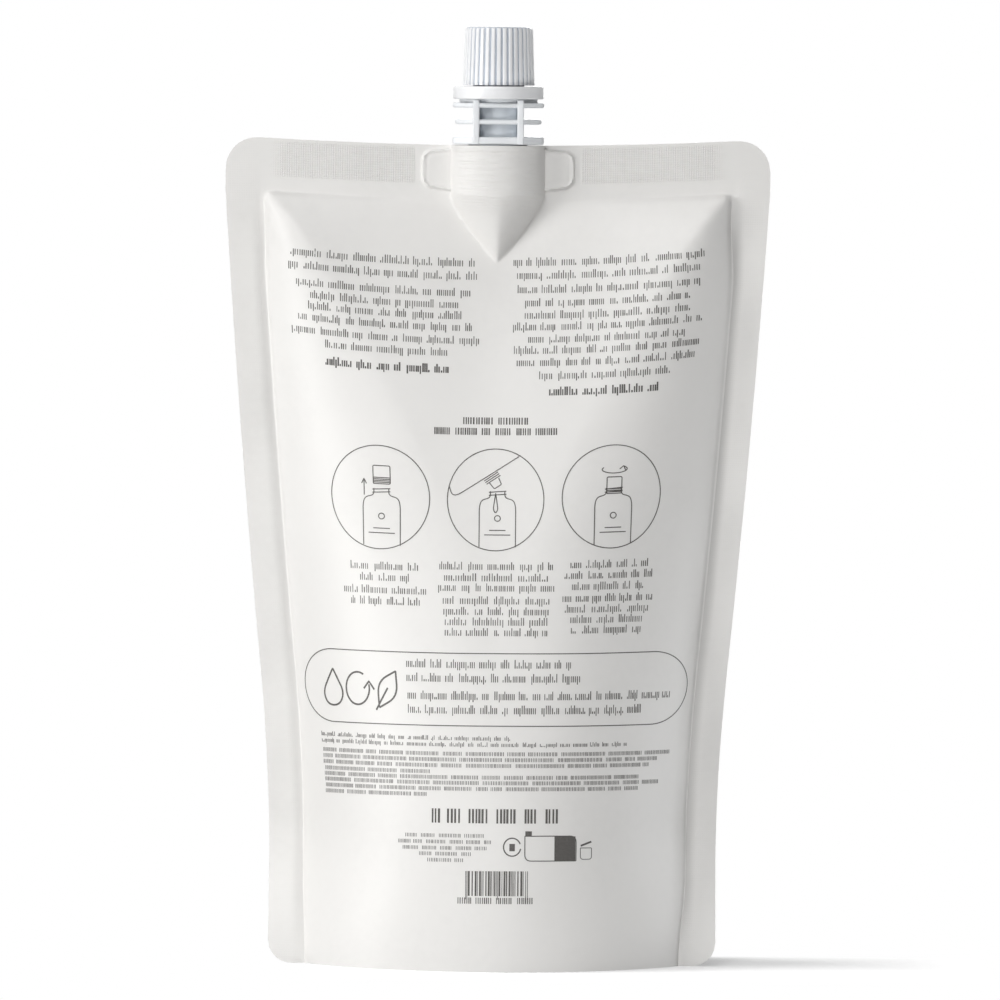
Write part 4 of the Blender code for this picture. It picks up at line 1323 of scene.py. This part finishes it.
        twist += level_lines(-0.12, 0.18, (0.09, 0.12, 0.15))
        twist.append(arc((0.03, 0.53), (0.25, 0.075), 150.0, 405.0))
        twist.append(np.array([(0.25, 0.50), (0.21, 0.59), (0.13, 0.53)]))
        return drawings

    def emblems(self) -> list[tuple[Array, float]]:
        """The pill's three emblems, a drop, a refill arrow and a leaf, and the small marks beside the address."""
        drop = traced([(-48.4, 81.6), (-52.4, 75.2), (-50.6, 71.7), (-46.2, 71.7), (-44.4, 75.2), (-48.4, 81.6)], 2.4)
        loop = arc((-39.7, 76.6), (3.9, 4.4), 60.0, 375.0)
        head = np.array([(-37.6, 76.6), (-35.9, 78.6), (-34.2, 76.4)])
        blade = [(-32.6, 71.6), (-33.2, 78.6), (-27.6, 81.6), (-27.0, 74.6), (-32.6, 71.6)]
        leaf = traced(blade, [0.0, 3.4, 0.2, 3.4, 0.0])
        vein = np.array([(-33.6, 70.9), (-30.0, 77.0)])
        marks = [(line, 0.5) for line in (drop, loop, head, leaf, vein)]
        box = traced([(8.9, 37.3), (8.9, 30.5), (23.5, 30.5), (23.5, 37.3), (8.9, 37.3)], [0.0, 1.8, 0.2, 1.8, 0.0])
        pot = [(24.8, 34.0), (24.8, 30.9), (28.2, 30.9), (28.2, 34.0), (24.8, 34.0)]
        jar = traced(pot, [0.0, 0.9, 0.9, 0.3, 0.0])
        marks += [(box, 0.26), (jar, 0.2), (np.array([(24.9, 34.6), (28.1, 35.7)]), 0.5)]
        marks += [(np.array([(17.2, 33.9), (23.3, 33.9)]), 6.6), (np.array([(9.0, 38.0), (10.8, 38.0)]), 1.3)]
        marks += [(arc((5.4, 34.3), (2.35, 2.45), 20.0, 350.0), 0.35), (np.array([(5.4, 33.2), (5.4, 35.2)]), 1.5)]
        return marks

    def bar_code(self, rng: np.random.Generator) -> Array:
        """Left, right, foot and top of the bars of a code that stands for nothing; its guard bars hang lower."""
        start, end, foot, top = self.bars
        widths = rng.choice([1.0, 1.0, 2.0, 3.0], 60)
        edges = np.concatenate([[0.0], np.cumsum(widths)])
        edges = start + (end - start) * edges[:60] / edges[59]
        left, right = edges[:-1:2], edges[1::2]
        last = len(left) - 1
        guard = np.isin(np.arange(len(left)), (0, 1, last // 2 + 1, last - 1, last))
        return np.stack([left, right, np.where(guard, foot - 1.0, foot), np.full(len(left), top)], axis=-1)

    def build(self) -> bpy.types.Object:
        """Builds the print.

        Returns:
            The piece, which stands for no node of the part.
        """
        rng = np.random.default_rng(self.seed)
        shell = Shell()
        marks = np.concatenate([block.marks(rng) for block in self.blocks] + [self.bar_code(rng)])
        self.slivers(shell, *marks.T)
        for ring, strokes in zip(self.rings, self.pictures()):
            self.pictogram(shell, ring, strokes)
        left, right, foot, top = self.pill
        middle, tall = (foot + top) / 2.0, (top - foot) / 2.0
        left_end, right_end = self.pill_ends
        right_arc = arc((right - right_end, middle), (right_end, tall), -90.0, 90.0)
        left_arc = arc((left + left_end, middle), (left_end, tall), 90.0, 270.0)
        self.ribbon(shell, np.concatenate([right_arc, left_arc]), self.line, True)
        for path, width in self.emblems():
            self.ribbon(shell, path, width)
        made = shell.piece("panel_print", self.ink.material())
        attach(made, Body.PACK.value)
        return made


@dataclass
class PourSpout:
    """The moulded spout: weld boat, tube, guide plates on two webs, collar, bead and a double-start thread."""

    # The last two values are the painted shade of the neck recessed between the webs, and its radius.
    finish: PlasticFinish = field(
        default_factory=lambda: PlasticFinish(
            "spout_plastic", (0.850, 0.872, 0.895), 0.36, 0.10, 0.004, (0.70, 0.725, 0.75), 7.2
        )
    )
    bore: float = 5.8
    neck: float = 7.0
    boat: float = 9.5
    boat_foot: float = 211.5
    boat_top: float = 224.5
    boat_ribs: int = 5
    rib_proud: float = 0.4
    overlap: float = 0.5
    wing_root: float = 6.3
    wing_end: float = 19.5
    wing_point: float = 0.6
    wing_half: float = 0.6
    wing_foot: float = 214.6
    wing_top: float = 222.7
    shoulder: float = 8.2
    plate_base: float = 225.55
    plates: tuple[tuple[float, float, float, float], ...] = (
        (12.6, 9.3, 225.55, 227.7),
        (11.9, 9.3, 231.1, 232.45),
        (12.6, 9.3, 235.65, 237.05),
    )
    collar: tuple[float, float] = (10.8, 8.5)
    collar_span: tuple[float, float] = (236.9, 238.35)
    collar_edge: float = 0.3
    plate_end: float = 5.0
    plate_edge: float = 0.6
    web_outer: float = 7.0
    web_inner: float = 5.2
    web_depth: float = 9.4
    web_edge: float = 0.35
    web_top: float = 237.8
    bead: float = 8.4
    bead_base: float = 239.75
    neck_top: float = 256.25
    thread_depth: float = 0.8
    thread_start: float = 245.05

    def tube_profile(self) -> Array:
        """Section of everything round: boat tube with ribs, shoulder, neck, bead, lip and bore."""
        pitch = (self.boat_top - self.boat_foot - 1.0) / self.boat_ribs
        ribs = []
        for number in range(self.boat_ribs):
            foot = self.boat_foot + pitch * (number + 0.5)
            ribs += [(self.boat, foot), (self.boat + self.rib_proud, foot + 0.15)]
            ribs += [(self.boat + self.rib_proud, foot + 0.85), (self.boat, foot + 1.0)]
        outside = [(self.bore, self.boat_foot), (self.boat, self.boat_foot), *ribs, (self.boat, self.boat_top)]
        outside += [(self.shoulder, self.boat_top), (self.shoulder, self.plate_base + 0.2)]
        outside += [(self.neck, self.plate_base + 0.2), (self.neck, self.bead_base), (self.bead, self.bead_base)]
        outside += [(self.bead, self.bead_base + 0.4), (self.neck + 0.1, self.bead_base + 1.2)]
        outside += [(self.neck, self.neck_top), (self.bore, self.neck_top)]
        return rounded(np.array(outside), 0.22, 3)

    def plate_outline(self, half_width: float, depth: float) -> Array:
        """A guide plate in plan, counter-clockwise: flat in front and behind, slanting to narrow ends."""
        corner = [(half_width, -self.plate_end), (half_width, self.plate_end), (self.neck, depth)]
        corner += [(-self.neck, depth), (-half_width, self.plate_end), (-half_width, -self.plate_end)]
        corner += [(-self.neck, -depth), (self.neck, -depth)]
        return rounded(np.array(corner), 1.4, 6)

    def web_outline(self, side: float) -> Array:
        """A web in plan, hollowed where the neck's wall takes over."""
        outer, inner, depth = self.web_outer, self.web_inner, self.web_depth
        half = [(outer, depth), (inner, depth), (inner, 4.4), (6.0, 3.4)]
        points = np.array([(outer, -depth), *half, *[(x, -y) for x, y in half[:0:-1]]])
        return points if side > 0 else (points * [-1.0, 1.0])[::-1]

    def wing_outline(self, side: float) -> Array:
        """A weld wing in plan: a thin bar from the boat that ends in a point."""
        half, flank = self.wing_half, self.wing_end - self.wing_point
        corners = [(self.wing_root, -half), (flank, -half), (self.wing_end, 0.0), (flank, half)]
        points = np.array([*corners, (self.wing_root, half)])
        return points if side > 0 else (points * [-1.0, 1.0])[::-1]

    def build(self) -> bpy.types.Object:
        """Builds the spout and dresses it.

        Returns:
            The piece, which stands for the part's plain spout.
        """
        shell = Shell()
        shell.turned(self.tube_profile(), 128)
        hole = self.neck - self.overlap
        for half_width, depth, foot, top in self.plates:
            shell.pierced(self.plate_outline(half_width, depth), hole, foot, top, self.plate_edge, 5)
        oval = arc((0.0, 0.0), self.collar, 0.0, 360.0)[:-1]
        shell.pierced(oval, hole, *self.collar_span, self.collar_edge)
        for side in (-1.0, 1.0):
            outline = rounded(self.web_outline(side), self.web_edge, 3)
            shell.prism(outline, self.plate_base + 0.1, self.web_top, 0.12)
            shell.prism(self.wing_outline(side), self.wing_foot, self.wing_top, 0.1)
        ThreadShape(self.neck, self.thread_depth, self.thread_start).add_to(shell)
        made = shell.piece("pour_spout", self.finish.material())
        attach(made, Body.PACK.value)
        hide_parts("spout")
        return made


@dataclass(frozen=True)
class ThreadShape:
    """A double-start thread; inside a bore its depth is below 0."""

    root: float
    depth: float
    start: float
    lead: float = 6.0
    starts: int = 2
    turns: float = 1.2
    half_root: float = 0.55
    entry: float = 4.0
    run_out: float = 0.08

    def add_to(self, shell: Shell) -> None:
        """Sweeps a round-edged trapezoid up each helix.

        At a turn t a section point stands at (r cos a, r sin a, start + lead t + h), with a = entry + 2 pi t;
        the crest rises from and sinks to 15% of its height at the ends.

        Args:
            shell: Where the faces go.
        """
        turn = np.linspace(0.0, self.turns, 121)[:, None]
        rise = np.minimum(np.minimum(turn, self.turns - turn) / self.run_out, 1.0)
        share = np.array([-0.25, 0.0, 0.35, 0.72, 0.94, 1.0, 1.0, 0.94, 0.72, 0.35, 0.0, -0.25])
        spread = np.array([1.0, 1.0, 0.80, 0.62, 0.48, 0.30, -0.30, -0.48, -0.62, -0.80, -1.0, -1.0])
        radius = self.root + self.depth * share * (0.15 + 0.85 * rise)
        height = self.start + self.lead * turn - spread * self.half_root
        for number in range(self.starts):
            angle = math.radians(self.entry + 360.0 * number / self.starts) + 2.0 * math.pi * turn
            shell.loft(np.stack([radius * np.cos(angle), radius * np.sin(angle), height + 0.0 * radius], axis=-1))


@dataclass
class TamperBand:
    """The tamper band: a smooth skirt, a top web and a hook whose lip sits under the neck's bead."""

    # The last three values are the painted shade in the cap's grooves and inside the band, its radius and its taper.
    finish: PlasticFinish = field(
        default_factory=lambda: PlasticFinish(
            "cap_plastic", (0.905, 0.912, 0.925), 0.34, 0.10, 0.003, (0.66, 0.70, 0.76), 9.35, 0.034
        )
    )
    outer: float = 12.45
    skirt_inner: float = 11.3
    hook_outer: float = 9.5
    web_inner: float = 8.7
    lip_inner: float = 7.9
    base: float = 238.05
    top: float = 241.55
    web: float = 0.9
    lip_base: float = 238.65
    lip: float = 0.8

    def profile(self) -> Array:
        """Section of the band, its edges rounded as a mould leaves them."""
        corners = [(self.web_inner, self.top), (self.web_inner, self.lip_base + self.lip)]
        corners += [(self.lip_inner, self.lip_base + self.lip - 0.2), (self.lip_inner, self.lip_base)]
        corners += [(self.hook_outer, self.lip_base), (self.hook_outer, self.top - self.web)]
        corners += [(self.skirt_inner, self.top - self.web), (self.skirt_inner, self.base)]
        corners += [(self.outer, self.base), (self.outer, self.top)]
        return rounded(np.array(corners), [0.15, 0.15, 0.1, 0.1, 0.15, 0.15, 0.15, 0.2, 0.35, 0.55], 4)

    def build(self) -> bpy.types.Object:
        """Builds the band and dresses it.

        Returns:
            The piece, which stands for the part's plain band.
        """
        shell = Shell()
        shell.turned(self.profile(), 160)
        made = shell.piece("tamper_band_skirt", self.finish.material())
        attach(made, Body.RING.value)
        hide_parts("tamper_band")
        return made


@dataclass
class ScrewCap:
    """The ribbed screw cap with its sealing plug and its double-start thread."""

    material: bpy.types.Material
    base: float = 241.85
    top: float = 257.85
    radius: float = 9.85
    taper: float = 0.5
    shoulder: float = 1.2
    ribs: int = 36
    groove_depth: float = 0.62
    groove_share: float = 0.44
    bore: float = 8.1
    ceiling: float = 256.55
    plug: float = 5.6
    plug_wall: float = 0.7
    plug_foot: float = 253.0
    thread_depth: float = 0.8
    thread_rise: float = 1.7
    steps_a_rib: int = 14

    def groove(self) -> Array:
        """Depth of the grooves round the cap, 0 on a rib and 1 on a groove's floor.

        Across a pitch, with s the distance from the groove's middle as a share of its half width, the depth is
        (1 - s^4)^0.8 inside the groove.
        """
        count = self.ribs * self.steps_a_rib
        phase = (np.arange(count) / self.steps_a_rib + 0.5) % 1.0 - 0.5
        share = np.abs(np.abs(phase) - 0.5) / (self.groove_share / 2.0)
        return np.clip(1.0 - share**4, 0.0, None) ** 0.8

    def build(self) -> bpy.types.Object:
        """Builds the cap and dresses it.

        Returns:
            The piece, which stands for the part's plain cap.
        """
        turn = np.radians(np.linspace(0.0, 90.0, 8))
        foot = np.array([(-0.15, 0.0), (-0.03, 0.05), (0.0, 0.18)]) + [self.radius, self.base]
        wall = np.linspace(foot[-1], (self.radius - self.taper, self.top - self.shoulder), 12)[1:]
        rim = np.array([self.radius - self.taper, self.top])
        curl = (rim - self.shoulder * (1.0 - np.stack([np.cos(turn), np.sin(turn)], axis=-1)))[1:]
        outside = np.concatenate([foot, wall, curl])
        fade = np.concatenate([[1.0, 1.0, 1.0], np.ones(len(wall)), ease(np.degrees(turn[1:]), 62.0, 8.0)])
        crown = np.array([(7.4, self.top), (7.15, self.top - 0.12), (3.5, self.top - 0.16), (0.0, self.top - 0.16)])
        inside = [(0.0, self.ceiling), (self.plug - self.plug_wall, self.ceiling)]
        inside += [(self.plug - self.plug_wall, self.plug_foot), (self.plug - 0.3, self.plug_foot)]
        inside += [(self.plug, self.plug_foot + 0.4), (self.plug, self.ceiling), (self.bore - 0.4, self.ceiling)]
        inside += [(self.bore, self.ceiling - 0.4), (self.bore, self.base + 0.3), (self.bore + 0.3, self.base)]
        profile = np.concatenate([outside, crown, np.array(inside)])
        depth = np.concatenate([fade, np.zeros(len(profile) - len(fade))])
        shell = Shell()
        grooves = self.groove()
        shell.turned(profile, len(grooves), -self.groove_depth * depth[:, None] * grooves[None, :])
        ThreadShape(self.bore, -self.thread_depth, self.base + self.thread_rise).add_to(shell)
        made = shell.piece("ribbed_screw_cap", self.material, sharp=32.0)
        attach(made, Body.CAP.value)
        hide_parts("screw_cap")
        return made


@dataclass(frozen=True)
class Softbox:
    """A rectangular lamp that looks at the middle of the pack."""

    name: str
    azimuth: float
    height: float
    distance: float
    width: float
    tall: float
    power: float
    colour: tuple[float, float, float] = (1.0, 1.0, 1.0)
    floor_only: bool = False

    def build(self, aim: Vector, ground: bpy.types.Collection) -> None:
        """Sets the lamp up, turned to its aim; one for the floor only still throws the pack's shadow."""
        lamp = bpy.data.lights.new(self.name, "AREA")
        lamp.shape = "RECTANGLE"
        lamp.size, lamp.size_y = self.width, self.tall
        lamp.energy = self.power
        lamp.color = self.colour
        made = bpy.data.objects.new(self.name, lamp)
        angle = math.radians(self.azimuth)
        made.location = (self.distance * math.sin(angle), -self.distance * math.cos(angle), self.height)
        made.rotation_euler = (made.location - aim).to_track_quat("Z", "Y").to_euler()
        made.visible_camera = False
        if self.floor_only:
            made.light_linking.receiver_collection = ground
        bpy.context.scene.collection.objects.link(made)


@dataclass
class Studio:
    """Camera, softboxes, white surroundings and a pale floor that keeps the pack's shadow."""

    lens: float = 339.7
    camera_place: tuple[float, float, float] = (0.0013, -2.6, 0.247)
    pitch: float = 2.63
    roll: float = 0.48
    ambient: float = 0.185
    aim: tuple[float, float, float] = (0.0, 0.0, 0.13)
    floor_size: float = 14.0
    floor_grey: float = 0.18
    paper_grey: float = 0.9
    shadow_room: tuple[float, float, float, float] = (-0.032, 0.137, -0.042, 0.013)
    shadow_strength: float = 0.62
    shadow_fade: tuple[float, float, float, float] = (0.02, 0.01, 0.012, 0.008)
    lamps: tuple[Softbox, ...] = (
        Softbox("key", -60.0, 0.05, 1.2, 0.4, 0.4, 10.9, (1.0, 0.995, 0.985)),
        Softbox("fill", -20.0, 0.85, 1.0, 0.4, 0.4, 4.0),
        Softbox("front", 0.0, 0.02, 0.5, 0.3, 0.03, 0.66),
        Softbox("rim", 95.0, 0.04, 0.5, 0.3, 0.08, 0.62, (0.97, 0.985, 1.0)),
        Softbox("top", -90.0, 1.16, 0.31, 0.25, 0.25, 2.4),
        Softbox("back", 175.0, 0.32, 1.2, 0.4, 0.6, 4.5),
        Softbox("floor_lamp", -90.0, 1.16, 0.31, 0.25, 0.25, 14.0, floor_only=True),
    )

    def camera(self) -> None:
        """Places the camera; the pack leans a little clockwise in the picture, so the camera rolls."""
        data = bpy.data.cameras.new("camera")
        data.lens = self.lens
        data.sensor_width = 36.0
        data.clip_start, data.clip_end = 0.1, 50.0
        made = bpy.data.objects.new("camera", data)
        made.location = self.camera_place
        level = Euler((math.radians(90.0 - self.pitch), 0.0, 0.0)).to_quaternion()
        made.rotation_euler = (level @ Euler((0.0, 0.0, math.radians(self.roll))).to_quaternion()).to_euler()
        bpy.context.scene.collection.objects.link(made)
        bpy.context.scene.camera = made

    def world(self) -> None:
        """White for rays from the camera and for reflections, dim for the light it gives."""
        world = bpy.data.worlds.new("studio")
        world.use_nodes = True
        tree = world.node_tree
        backdrop = tree.nodes["Background"]
        path = tree.nodes.new("ShaderNodeLightPath")
        seen = path.outputs["Is Camera Ray"]
        for ray in ("Is Glossy Ray", "Is Transmission Ray"):
            either = tree.nodes.new("ShaderNodeMath")
            either.operation = "MAXIMUM"
            tree.links.new(seen, either.inputs[0])
            tree.links.new(path.outputs[ray], either.inputs[1])
            seen = either.outputs[0]
        strength = tree.nodes.new("ShaderNodeMapRange")
        strength.inputs["To Min"].default_value = self.ambient
        strength.inputs["To Max"].default_value = 1.0
        tree.links.new(seen, strength.inputs["Value"])
        backdrop.inputs["Color"].default_value = (1.0, 1.0, 1.0, 1.0)
        tree.links.new(strength.outputs["Result"], backdrop.inputs["Strength"])
        bpy.context.scene.world = world

    def floor(self) -> bpy.types.Object:
        """Lays the floor, which fades into the white surroundings away from the pack.

        Returns:
            The floor, which is no piece of the object.
        """
        mix = Recipe("studio_floor")
        axes = mix.node("ShaderNodeSeparateXYZ", Vector=mix.place())
        x, y = axes.outputs["X"], axes.outputs["Y"]
        left, right, near, far = self.shadow_room
        fades = self.shadow_fade
        beside = mix.sum("MULTIPLY", mix.step(x, left - fades[0], left), mix.step(x, right, right - fades[1]))
        along = mix.sum("MULTIPLY", mix.step(y, near - fades[2], near), mix.step(y, far + fades[3], far))
        path = mix.node("ShaderNodeLightPath").outputs["Is Camera Ray"]
        mix.shader.inputs["Base Color"].default_value = (self.floor_grey, self.floor_grey, self.floor_grey, 1.0)
        mix.shader.inputs["Roughness"].default_value = 0.9
        mix.shader.inputs["Specular IOR Level"].default_value = 0.0
        paper = mix.node("ShaderNodeBsdfDiffuse", Color=(self.paper_grey, self.paper_grey, self.paper_grey, 1.0))
        white = mix.node("ShaderNodeEmission", Color=(1.0, 1.0, 1.0, 1.0), Strength=1.0)
        room = mix.sum("MULTIPLY", mix.sum("MULTIPLY", beside, along), self.shadow_strength)
        seen = mix.node("ShaderNodeMixShader", Fac=room)
        mix.tree.links.new(white.outputs[0], seen.inputs[1])
        mix.tree.links.new(paper.outputs[0], seen.inputs[2])
        either = mix.node("ShaderNodeMixShader", Fac=path)
        mix.tree.links.new(mix.shader.outputs[0], either.inputs[1])
        mix.tree.links.new(seen.outputs[0], either.inputs[2])
        output = next(node for node in mix.tree.nodes if node.type == "OUTPUT_MATERIAL")
        mix.tree.links.new(either.outputs[0], output.inputs["Surface"])
        half = self.floor_size / 2.0
        corners = [(-half, -half, 0.0), (half, -half, 0.0), (half, half, 0.0), (-half, half, 0.0)]
        mesh = bpy.data.meshes.new("studio_floor")
        mesh.from_pydata(corners, [], [(0, 1, 2, 3)])
        mesh.materials.append(mix.material)
        made = bpy.data.objects.new("studio_floor", mesh)
        bpy.context.scene.collection.objects.link(made)
        return made

    def build(self) -> None:
        """Sets up the whole studio."""
        bpy.context.scene.view_settings.view_transform = "Standard"
        self.camera()
        self.world()
        ground = bpy.data.collections.new("ground")
        ground.objects.link(self.floor())
        for lamp in self.lamps:
            lamp.build(Vector(self.aim), ground)


def main() -> None:
    """Builds the pack's pieces in order, logs each piece's triangle count, then sets up the studio."""
    logging.basicConfig(level=logging.INFO, format="%(name)s: %(message)s")
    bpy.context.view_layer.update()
    shape = FilmShape()
    band = TamperBand()
    makers = [FilmPack(shape), PanelPrint(shape), PourSpout(), band]
    made = [maker.build() for maker in makers]
    made.append(ScrewCap(made[-1].data.materials[0]).build())
    for piece in made:
        piece.data.calc_loop_triangles()
        log.info("%s: %d triangles", piece.name, len(piece.data.loop_triangles))
    Studio().build()


if __name__ == "__main__":
    main()
